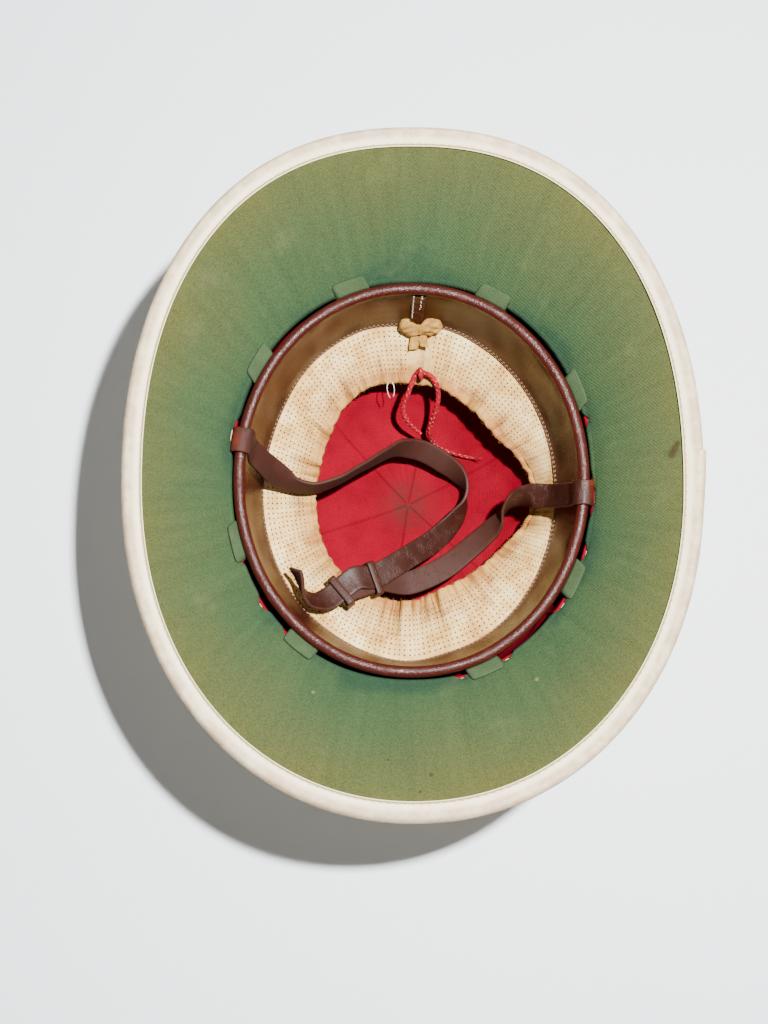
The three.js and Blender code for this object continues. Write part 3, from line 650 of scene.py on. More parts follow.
class Paint:
    """One material, with methods for the nodes that this helmet's finishes use."""

    def __init__(self, name: str) -> None:
        self.material = bpy.data.materials.new(name)
        self.material.use_nodes = True
        self.tree = self.material.node_tree
        self.tree.nodes.clear()
        self.surface = self.node("ShaderNodeBsdfPrincipled")
        self.node("ShaderNodeOutputMaterial", inputs={"Surface": self.surface.outputs[0]})

    def plug(self, socket: bpy.types.NodeSocket, value: Any) -> None:
        """Links a value to a socket, or sets a number or a colour's code on it."""
        link = value.socket if isinstance(value, Value) else value
        if isinstance(link, bpy.types.NodeSocket):
            self.tree.links.new(link, socket)
        else:
            socket.default_value = tint(link) if isinstance(link, str) else link

    def node(
        self, kind: str, settings: dict[str, Any] | None = None, inputs: dict[Any, Any] | None = None
    ) -> Any:
        """Adds a node.

        Args:
            kind: the node's type.
            settings: its properties, set first; stops gives a ramp's positions and colours.
            inputs: values, links or colour codes for its sockets, by name or number.

        Returns:
            The node.
        """
        made = self.tree.nodes.new(kind)
        for key, value in (settings or {}).items():
            if key == "stops":
                self.stops(made.color_ramp, value)
            else:
                setattr(made, key, value)
        for key, value in (inputs or {}).items():
            self.plug(made.inputs[key], value)
        return made

    def value(
        self, kind: str, settings: dict[str, Any], inputs: dict[Any, Any], output: int | str = 0
    ) -> Value:
        """One output of a new node, as a value."""
        return Value(self, self.node(kind, settings, inputs).outputs[output])

    @staticmethod
    def stops(ramp: bpy.types.ColorRamp, stops: Sequence[tuple[float, str]]) -> None:
        """Sets a ramp's positions and colours."""
        while len(ramp.elements) < len(stops):
            ramp.elements.new(0.5)
        for element, (position, code) in zip(ramp.elements, stops):
            element.position = position
            element.color = tint(code)

    def math(self, operation: str, *values: Any) -> Value:
        """One Math node on numbers or values."""
        return self.value("ShaderNodeMath", {"operation": operation}, dict(enumerate(values)))

    def millimetres(self, vector: Any) -> Value:
        """A vector in metres, made millimetres."""
        return self.value("ShaderNodeVectorMath", {"operation": "SCALE"}, {0: vector, "Scale": 1.0 / MM})

    def place(self) -> Value:
        """Object coordinates in millimetres."""
        return self.millimetres(self.node("ShaderNodeTexCoord").outputs["Object"])

    def weave(self) -> Value:
        """The piece's own cloth coordinates in millimetres: along, then across."""
        return self.millimetres(self.value("ShaderNodeUVMap", {"uv_map": "weave"}, {}))

    def tone(self) -> Value:
        """The piece's tone, a number kept at each point."""
        return self.value("ShaderNodeAttribute", {"attribute_name": "tone"}, {}, "Fac")

    def parts(self, vector: Value) -> tuple[Value, ...]:
        """The three numbers of a vector."""
        made = self.node("ShaderNodeSeparateXYZ", inputs={0: vector})
        return tuple(Value(self, made.outputs[k]) for k in range(3))

    def stretch(self, vector: Value, size: Any) -> Value:
        """A vector in millimetres divided by one size or three, so that one unit is one such size."""
        sizes = size if isinstance(size, tuple) else (size, size, size)
        scale = tuple(1.0 / part for part in sizes)
        return self.value("ShaderNodeVectorMath", {"operation": "MULTIPLY"}, {0: vector, 1: scale})

    def noise(self, vector: Value, size: Any, detail: float = 2.0, rough: float = 0.5) -> Value:
        """Smooth noise from 0 to 1 whose blotches are about one size, or three sizes, across."""
        inputs = {"Scale": 1.0, "Detail": detail, "Roughness": rough, "Vector": self.stretch(vector, size)}
        return self.value("ShaderNodeTexNoise", {}, inputs, "Fac")

    def cracks(self, vector: Value, size: Any) -> Value:
        """The distance to the nearest edge between cells of one size, or three sizes."""
        inputs = {"Vector": self.stretch(vector, size), "Scale": 1.0}
        return self.value("ShaderNodeTexVoronoi", {"feature": "DISTANCE_TO_EDGE"}, inputs, "Distance")

    def step(self, value: Value, low: float, high: float) -> Value:
        """Rises smoothly from 0 at low to 1 at high."""
        inputs = {"Value": value, "From Min": low, "From Max": high}
        return self.value("ShaderNodeMapRange", {"interpolation_type": "SMOOTHSTEP"}, inputs, "Result")

    def between(self, value: Value, rise: tuple[float, float], fall: tuple[float, float]) -> Value:
        """Rises smoothly from 0 to 1 over one range and falls back over another."""
        return self.step(value, *rise) * (1.0 - self.step(value, *fall))

    def wave(self, value: Value, pitch: float) -> Value:
        """A sine from 0 to 1 that repeats at a pitch."""
        return self.math("SINE", value * (TAU / pitch)) * 0.5 + 0.5

    def near(self, vector: Value, spot: Sequence[float]) -> Value:
        """1 at a spot in millimetres, falling to 0 at its reach, the spot's fourth number."""
        inputs = {0: vector, 1: spot[:3]}
        away = self.value("ShaderNodeVectorMath", {"operation": "DISTANCE"}, inputs, "Value")
        return 1.0 - self.step(away, spot[3] * 0.35, spot[3])

    def blend(self, factor: Any, first: Any, second: Any) -> Value:
        """Two colours mixed by a factor."""
        return self.value("ShaderNodeMix", {"data_type": "RGBA"}, {0: factor, 6: first, 7: second}, 2)

    def shade(self, colour: Any, factor: Value) -> Value:
        """A colour made darker or lighter by a factor around one."""
        settings = {"data_type": "RGBA", "blend_type": "MULTIPLY"}
        return self.value("ShaderNodeMix", settings, {0: 1.0, 6: colour, 7: factor}, 2)

    def ramp(self, value: Value, *stops: tuple[float, str]) -> Value:
        """Colours along a value."""
        return self.value("ShaderNodeValToRGB", {"stops": stops}, {0: value})

    def finish(
        self, colour: Any, roughness: Any, height: Value | None = None, depth: float = 0.0, **plain: float
    ) -> bpy.types.Material:
        """Sets the surface.

        Args:
            colour: the base colour.
            roughness: a number or a value.
            height: a relief from 0 to 1.
            depth: the relief's depth in millimetres.
            plain: other sockets, named with underscores, which stay the same all over.

        Returns:
            The finished material.
        """
        links = {"Base Color": colour, "Roughness": roughness}
        if height is not None:
            inputs = {"Strength": 1.0, "Distance": depth * MM, "Height": height}
            links["Normal"] = self.value("ShaderNodeBump", {}, inputs)
        for key, value in plain.items():
            links[key.replace("_", " ").title().replace("Ior", "IOR")] = value
        for key, value in links.items():
            self.plug(self.surface.inputs[key], value)
        return self.material


# Finishes


class Slot(Enum):
    """The record's material slots."""

    CREAM_CLOTH = "cream_cloth"
    RED_CLOTH = "red_cloth"
    GREEN_CLOTH = "green_cloth"
    CREAM_TAPE = "cream_tape"
    BROWN_LEATHER = "brown_leather"
    STRAP_LEATHER = "strap_leather"
    MESH_COTTON = "mesh_cotton"
    RIBBON = "ribbon"
    RED_CORD = "red_cord"
    GREEN_FELT = "green_felt"


@dataclass(frozen=True)
class GreenTwill:
    """Green cotton twill that has turned olive towards the rim, with painted shade beside the band."""

    line_pitch: float = 1.15
    spots: Table = (
        (129.4, 7.0, 142.4, 3.2), (130.8, 9.6, 143.2, 3.0), (132.0, 12.0, 144.0, 2.2),
        (-12.2, -143.6, 142.4, 1.1), (8.5, -150.7, 146.1, 1.7), (3.1, -158.6, 150.2, 1.2),
    )
    scratches: Table = (
        (95.8, 128.0, 150.5, 2.0), (-49.4, -110.9, 127.9, 1.4), (61.9, -104.5, 128.5, 1.6),
    )

    def build(self) -> bpy.types.Material:
        """Diagonal lines at one pitch, colours along the tone that are darkest as painted shade at the
        opening, and blotches, painted shading streaks and spots.
        """
        paint = Paint("green_twill")
        here = paint.place()
        x, y, _ = paint.parts(here)
        blotch = paint.noise(here, 46.0, 3.0)
        # The ramp runs from a dark bluish green at the opening to olive at the rim: partly painted shade
        # beside the band, partly cloth that has faded less there.
        fade = paint.tone() * 1.05 + (blotch - 0.5) * 0.7
        colour = paint.ramp(
            fade, (0.0, "#1a301e"), (0.1, "#263920"), (0.35, "#2d3b20"), (0.7, "#353c1e"), (1.0, "#3c3e1c")
        )
        # Radial lighter and darker streaks: painted shading of the cloth's slight wobble.
        shading_streak = paint.noise(paint.weave(), (5.0, 60.0, 1.0), 3.0)
        fine = paint.noise(here, 0.9, 2.0)
        wander = paint.noise(here, 7.0)
        lines = paint.wave(x + y + wander * 1.2 + fine * 0.35, self.line_pitch * math.sqrt(2.0))
        colour = paint.shade(colour, (shading_streak - 0.5) * 0.45 + (fine - 0.5) * 1.2 + lines * 0.12 + 0.94)
        bleach = paint.step(paint.noise(here, 26.0, 4.0, 0.65), 0.56, 0.8)
        colour = paint.blend(bleach * 0.22, colour, "#5a5d39")
        for spot in self.spots:
            colour = paint.blend(paint.near(here, spot) * (fine * 0.9 + 0.2), colour, "#251606")
        for spot in self.scratches:
            colour = paint.blend(paint.near(here, spot) * fine, colour, "#6f6a47")
        return paint.finish(colour, 0.9, lines * 0.5 + fine * 0.8, 0.2, specular_ior_level=0.2)


@dataclass(frozen=True)
class RedCotton:
    """Crimson lining cotton, worn grey-brown in the middle and along its seams."""

    worn_reach: float = 25.0

    def build(self) -> bpy.types.Material:
        """A plain weave, soft creases, and a faded star that follows the tone of the seams."""
        paint = Paint("red_cotton")
        here = paint.place()
        x, y, _ = paint.parts(here)
        tone = paint.tone()
        distance = (x * x + y * y) ** 0.5
        blotch = paint.noise(here, 9.0, 4.0, 0.6)
        worn = 1.0 - paint.step(distance + (blotch - 0.5) * 26.0, 3.0, self.worn_reach)
        seam = paint.step(tone, 0.25, 0.9)
        fine = paint.noise(here, 0.8, 2.0)
        hue = paint.noise(here, 24.0, 3.0)
        colour = paint.ramp(hue, (0.25, "#59000e"), (0.55, "#680013"), (0.8, "#700016"))
        colour = paint.shade(colour, (fine - 0.5) * 0.6 + 1.0)
        faded = worn * (seam * 0.25 + paint.step(blotch, 0.3, 0.7) * 0.85)
        colour = paint.blend(faded, colour, "#33211b")
        colour = paint.blend(seam * 0.2, colour, "#210006")
        weave = paint.wave(x, 0.9) * paint.wave(y, 0.9)
        return paint.finish(colour, 0.9, weave * 0.5 + fine * 0.6, 0.2, specular_ior_level=0.05)


@dataclass(frozen=True)
class CreamTape:
    """Cotton binding tape with fine ribs across it, dirt towards its outer edge and painted shade on its
    rounded outer half.
    """

    rib_pitch: float = 0.85
    stitch_line: tuple[float, float] = (2.3, 3.1)

    def build(self) -> bpy.types.Material:
        """Ribs along the weave, painted shadow in the sewn groove near the lip, painted shade on the
        rounded outer half, and worn outer edges.
        """
        paint = Paint("cream_tape")
        here = paint.place()
        along, across, _ = paint.parts(paint.weave())
        rough = paint.noise(here, 1.3, 3.0)
        ribs = paint.wave(along + rough * 0.35, self.rib_pitch)
        blotch = paint.noise(here, 14.0, 4.0, 0.6)
        colour = paint.ramp(blotch, (0.2, "#d7c6a3"), (0.5, "#e3d5b2"), (0.8, "#ebdebe"))
        colour = paint.shade(colour, ribs * 0.05 + (rough - 0.5) * 0.12 + 0.98)
        # outer: the tape's outer half, which carries both dirt and painted shade.
        outer = paint.between(across, (4.6, 9.0), (15.0, 19.0))
        dirt = outer * paint.step(paint.noise(here, (9.0, 9.0, 6.0), 4.0, 0.65), 0.25, 0.66)
        # Painted shade: the outer half, where the tape rounds away from the light, mixed towards a darker
        # beige.
        colour = paint.blend(outer * 0.6, colour, "#b5a182")
        colour = paint.blend(dirt * 0.7, colour, "#9b8065")
        speck = paint.step(paint.noise(here, 2.2, 3.0, 0.7), 0.68, 0.76)
        colour = paint.blend(speck * outer * 0.7, colour, "#524231")
        start, end = self.stitch_line
        # Painted shadow: a dark brown line along the sewn groove under the stitches.
        groove = paint.between(across, (start - 0.35, start), (end, end + 0.35))
        colour = paint.blend(groove * 0.85, colour, "#6c5b37")
        lip = 1.0 - paint.step(across, 1.8, 2.4)
        colour = paint.blend(lip * 0.35, colour, "#e1ce8e")
        height = ribs * 0.4 + rough * 0.4 + (1.0 - groove) * 1.4
        return paint.finish(colour, 0.85, height, 0.24, specular_ior_level=0.2)


@dataclass(frozen=True)
class CreamCloth:
    """The plain cream cotton that covers the outside."""

    name: str = "cream_cloth"

    def build(self) -> bpy.types.Material:
        """A fine plain weave, faint yellowing and a darker line where the tone marks a seam."""
        paint = Paint(self.name)
        here = paint.place()
        x, y, z = paint.parts(here)
        blotch = paint.noise(here, 34.0, 4.0, 0.6)
        fine = paint.noise(here, 0.8, 2.0)
        colour = paint.ramp(blotch, (0.25, "#c0b18d"), (0.5, "#cec2a2"), (0.8, "#d6ccb0"))
        colour = paint.shade(colour, (fine - 0.5) * 0.16 + 1.0)
        colour = paint.blend(paint.step(paint.tone(), 0.4, 0.9) * 0.45, colour, "#958462")
        weave = paint.wave(x + z, 1.0) * paint.wave(y - z, 1.0)
        return paint.finish(colour, 0.88, weave * 0.5 + fine * 0.5, 0.16, specular_ior_level=0.2)


@dataclass(frozen=True)
class BandLeather:
    """Glossy brown sweatband leather, darker under the bead, and rubbed lighter on it, partly as painted
    highlights.
    """

    def build(self) -> bpy.types.Material:
        """Colours along the tone from bead to deep edge, with patches, pores, scuffs, and lighter rubbed
        patches on the bead that are partly painted highlights.
        """
        paint = Paint("band_leather")
        here = paint.place()
        weave = paint.weave()
        tone = paint.tone()
        patch = paint.noise(weave, (34.0, 10.0, 1.0), 3.0, 0.55)
        fade = tone + (patch - 0.5) * 0.9
        colour = paint.ramp(
            fade, (0.0, "#290403"), (0.4, "#2c0503"), (0.66, "#2a0703"), (0.86, "#270c04"), (1.0, "#220e06")
        )
        grain = paint.cracks(here, 1.1)
        crease = paint.noise(weave, (2.2, 26.0, 1.0), 3.0, 0.6)
        colour = paint.shade(colour, (crease - 0.5) * 0.4 + (patch - 0.5) * 0.3 + 1.0)
        fold = paint.noise(weave, (24.0, 40.0, 1.0), 1.0)
        bead = 1.0 - paint.step(tone, -0.4, -0.1)
        colour = paint.blend(bead * 0.75, colour, "#341009")
        # Lighter patches on the bead: rubbed wear, and painted speckle highlights of its gloss.
        rub_and_highlight = bead * paint.step(paint.noise(here, 7.0, 5.0, 0.7), 0.52, 0.72)
        colour = paint.blend(rub_and_highlight * 0.4, colour, "#49170e")
        scuff = paint.step(paint.noise(here, 3.0, 5.0, 0.75), 0.66, 0.76)
        colour = paint.blend(scuff * 0.4, colour, "#40130a")
        roughness = (patch * 0.16 + 0.28) + rub_and_highlight * 0.2 + scuff * 0.15
        height = paint.step(grain, 0.0, 0.22) * 0.3 + crease * 0.9 + fold * 14.0
        return paint.finish(colour, roughness, height, 0.22, specular_ior_level=0.25)


@dataclass(frozen=True)
class StrapLeather:
    """Strap leather: dark cracked grain where the tone is 1 and brown flesh where it is 0."""

    name: str = "strap_leather"
    grain_tint: str = "#250c05"
    flesh_tint: str = "#2a0e04"
    worn: Table = ((-98.0, 18.0, 118.0, 15.0), (98.0, -6.0, 118.0, 11.0))

    def build(self) -> bpy.types.Material:
        """Grain with cracks across it, flesh with fibres along it, and pale worn edges."""
        paint = Paint(self.name)
        here = paint.place()
        weave = paint.weave()
        side = paint.step(paint.tone(), 0.35, 0.65)
        patch = paint.noise(here, 9.0, 4.0, 0.6)
        crack = 1.0 - paint.step(paint.cracks(weave, (3.6, 1.1, 1.0)), 0.0, 0.12)
        crack = crack * paint.step(paint.noise(here, 5.0, 3.0), 0.42, 0.7)
        fibre = paint.noise(weave, (7.0, 0.7, 1.0), 3.0, 0.6)
        pore = paint.noise(here, 0.7, 2.0)
        grain = paint.shade(self.grain_tint, (patch - 0.5) * 0.9 + (pore - 0.5) * 0.5 + 1.0)
        grain = paint.blend(crack * 0.42, grain, "#482b1f")
        flesh = paint.shade(self.flesh_tint, (fibre - 0.5) * 0.7 + (patch - 0.5) * 0.5 + 1.0)
        edge = paint.between(paint.tone(), (0.2, 0.45), (0.55, 0.8))
        colour = paint.blend(edge * 0.22, paint.blend(side, flesh, grain), "#3c1707")
        for spot in self.worn:
            near = paint.near(here, spot) * paint.step(patch, 0.3, 0.6)
            colour = paint.blend(near * 0.8, colour, "#571b07")
        roughness = 0.72 - side * 0.22 + crack * 0.2
        height = fibre * (1.0 - side) * 0.7 + side * (pore * 0.5 + crack * -0.5) + patch * 0.3
        return paint.finish(colour, roughness, height, 0.22, specular_ior_level=0.25)


@dataclass(frozen=True)
class PiercedCotton:
    """Cream cotton pierced with small holes in rows, stained brown at the hem, with painted shade in the
    valleys of its gathers.
    """

    pitch: float = 2.55
    hole: float = 0.13
    plain_across: tuple[float, float] = (0.5, 12.0)
    plain_from: float = 56.0

    def build(self) -> bpy.types.Material:
        """Holes where a point is near the middle of its cell, in rows that wander a little."""
        paint = Paint("pierced_cotton")
        here = paint.place()
        weave = paint.weave()
        along, across, _ = paint.parts(weave)
        x, y, _ = paint.parts(here)
        tone = paint.tone()
        wander = paint.noise(here, 8.0)
        row = across / self.pitch + wander * 0.35
        cell = along / self.pitch + wander * 0.5
        dx = paint.math("FRACT", cell) - 0.5
        dy = paint.math("FRACT", row) - 0.5
        fine = paint.noise(here, 0.7, 2.0)
        distance = (dx * dx + dy * dy) ** 0.5 + (fine - 0.5) * 0.12
        holes = 1.0 - paint.step(distance, self.hole, self.hole + 0.05)
        left, right = self.plain_across
        plain = paint.between(x, (left - 1.0, left), (right, right + 1.0))
        plain = plain * paint.step(y, self.plain_from - 2.0, self.plain_from)
        holes = holes * (1.0 - plain) * (1.0 - paint.step(tone, 0.86, 0.9)) * paint.step(tone, 0.02, 0.06)
        stain = paint.noise(here, 15.0, 4.0, 0.65)
        brown = paint.step(tone + (stain - 0.5) * 2.4, 0.5, 1.15)
        colour = paint.ramp(stain, (0.3, "#a6793c"), (0.48, "#c69f5f"), (0.66, "#e2c68b"))
        colour = paint.blend(brown * 0.85, colour, "#8d5117")
        # Painted shade: darker golden brown in the valleys of the gathers, where the same noise also sinks
        # the relief.
        crease = paint.step(paint.noise(weave, (6.0, 50.0, 1.0), 3.0, 0.6), 0.46, 0.72)
        crease = crease * paint.step(tone, 0.2, 1.0)
        colour = paint.blend(crease * 0.85, colour, "#744711")
        spot = paint.step(paint.noise(here, 4.5, 3.0, 0.6), 0.58, 0.74)
        colour = paint.blend(spot * 0.35, colour, "#834b16")
        colour = paint.shade(colour, (fine - 0.5) * 0.6 + 1.0)
        colour = paint.blend(holes * 0.92, colour, "#170b02")
        thread = paint.wave(along, 0.64) * paint.wave(across, 0.64)
        height = (1.0 - holes) * 1.2 + thread * 0.6 + fine * 0.9 - crease * 3.5
        return paint.finish(colour, 0.9, height, 0.3, specular_ior_level=0.2)


@dataclass(frozen=True)
class Braid:
    """Red braided cotton with pale flecks."""

    fleck_pitch: float = 2.7

    def build(self) -> bpy.types.Material:
        """Flecks where two crossing waves meet, on a red that wanders."""
        paint = Paint("red_braid")
        here = paint.place()
        along, across, _ = paint.parts(paint.weave())
        fine = paint.noise(here, 0.6, 2.0)
        cross = paint.wave(along + across * 0.9, self.fleck_pitch)
        cross = cross * paint.wave(along - across * 0.9, self.fleck_pitch * 1.3)
        fleck = paint.step(cross * 0.7 + paint.noise(here, 3.0) * 0.6 + fine * 0.2, 0.9, 1.1)
        colour = paint.ramp(paint.noise(here, 5.0, 3.0), (0.25, "#5a000c"), (0.7, "#860014"))
        colour = paint.shade(colour, (fine - 0.5) * 0.7 + 1.0)
        colour = paint.blend(fleck * 0.65, colour, "#c07a70")
        return paint.finish(colour, 0.85, fine, 0.2, specular_ior_level=0.2)


@dataclass(frozen=True)
class SoftFibre:
    """A matt fibrous stuff of one colour, such as felt, ribbon or thread."""

    name: str
    dark: str
    light: str
    grain: float | tuple[float, float, float] = 1.0
    relief: float = 0.25

    def build(self) -> bpy.types.Material:
        """Two colours mixed by fine noise, with the same noise as relief."""
        paint = Paint(self.name)
        here = paint.place()
        fine = paint.noise(paint.weave(), self.grain, 3.0, 0.65)
        blotch = paint.noise(here, 6.0, 3.0)
        colour = paint.ramp(fine * 0.6 + blotch * 0.4, (0.3, self.dark), (0.68, self.light))
        height = fine + paint.noise(here, 0.5) * 0.5
        return paint.finish(colour, 0.92, height, self.relief, specular_ior_level=0.2)


@dataclass(frozen=True)
class PaleFloor:
    """The plain floor under the helmet."""

    colour: str = "#d3d6da"

    def build(self) -> bpy.types.Material:
        """A pale matt paint with a trace of mottling."""
        paint = Paint("pale_floor")
        mottle = paint.noise(paint.place(), 60.0, 3.0)
        return paint.finish(paint.shade(self.colour, mottle * 0.03 + 0.985), 0.9)


FINISHES: dict[str, bpy.types.Material] = {}


def dress(name: str) -> bpy.types.Material:
    """The finished material of one name, built when it is first asked for."""
    makers = {
        "green": GreenTwill(),
        "red": RedCotton(),
        "tape": CreamTape(),
        "cloth": CreamCloth(),
        "band": BandLeather(),
        "strap": StrapLeather(),
        "keeper": StrapLeather("keeper_leather", "#291005", "#291005"),
        "pierced": PiercedCotton(),
        "braid": Braid(),
        "felt": SoftFibre("green_felt", "#25351f", "#39472d", (0.8, 0.8, 1.0), 0.5),
        "ribbon": SoftFibre("gold_ribbon", "#744d1b", "#a7813f", (0.35, 7.0, 1.0), 0.3),
        "cream_thread": SoftFibre("cream_thread", "#ac9867", "#d8c799"),
        "pink_thread": SoftFibre("pink_thread", "#714738", "#9e7464"),
        "gold_thread": SoftFibre("gold_thread", "#6d4214", "#96652a"),
        "white_thread": SoftFibre("white_thread", "#cfc8b8", "#f2eee2"),
    }
    if name not in FINISHES:
        FINISHES[name] = makers[name].build()
    return FINISHES[name]


def settle(piece: bpy.types.Object, slot: Slot, *nodes: str) -> bpy.types.Object:
    """Fixes a piece to the helmet's body, hides the model's nodes that it stands for, and reports it."""
    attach(piece, "root")
    if nodes:
        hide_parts(*nodes)
    LOG.info("%s: %d faces", piece.name, len(piece.data.polygons))
    return piece


# Camera, light and floor


@dataclass
class Studio:
    """The camera at the photograph's angle, soft lamps and a pale floor, in metres and degrees."""

    camera_at: tuple[float, float, float] = (-0.014166, -0.131974, 0.904433)
    camera_tilt: float = 8.2
    focal_length: float = 54.6
    sensor_width: float = 36.0
    clip_start: float = 0.02
    lamps: tuple[tuple[str, tuple[float, float, float], float, float], ...] = (
        ("key", (0.24, 0.06, 1.2), 0.04, 78.0),
        ("fill", (-0.5, -0.6, 1.2), 1.3, 2.0),
        ("back_fill", (0.1, 1.1, 1.0), 1.2, 2.0),
    )
    aim: tuple[float, float, float] = (0.0, 0.0, 0.1)
    sky: float = 0.13
    sky_tint: tuple[float, float, float, float] = (0.93, 0.96, 1.0, 1.0)
    floor_half: float = 3.0

    def set_camera(self) -> None:
        """Looks down at the hollow, with the helmet's back at the top of the picture."""
        data = bpy.data.cameras.new("camera")
        data.lens = self.focal_length
        data.sensor_width = self.sensor_width
        data.clip_start = self.clip_start
        camera = enter("camera", data)
        camera.location = self.camera_at
        camera.rotation_euler = (math.radians(self.camera_tilt), 0.0, 0.0)
        bpy.context.scene.camera = camera

    def light(self) -> None:
        """Square lamps that face the helmet, under an even pale sky."""
        for name, at, size, power in self.lamps:
            data = bpy.data.lights.new(name, "AREA")
            data.size = size
            data.energy = power
            lamp = enter(name, data)
            lamp.location = at
            away = np.array(at) - np.array(self.aim)
            tip = math.atan2(math.hypot(away[0], away[1]), away[2])
            lamp.rotation_euler = (0.0, tip, math.atan2(away[1], away[0]))
        world = bpy.data.worlds.new("sky")
        world.use_nodes = True
        background = world.node_tree.nodes["Background"]
        background.inputs["Color"].default_value = self.sky_tint
        background.inputs["Strength"].default_value = self.sky
        bpy.context.scene.world = world

    def lay_floor(self) -> None:
        """A wide square just under the button."""
        half = self.floor_half
        corners = [(-half, -half, 0.0), (half, -half, 0.0), (half, half, 0.0), (-half, half, 0.0)]
        mesh = bpy.data.meshes.new("floor")
        mesh.from_pydata(corners, [], [(0, 1, 2, 3)])
        mesh.materials.append(PaleFloor().build())
        enter("floor", mesh)


# Crown and brim


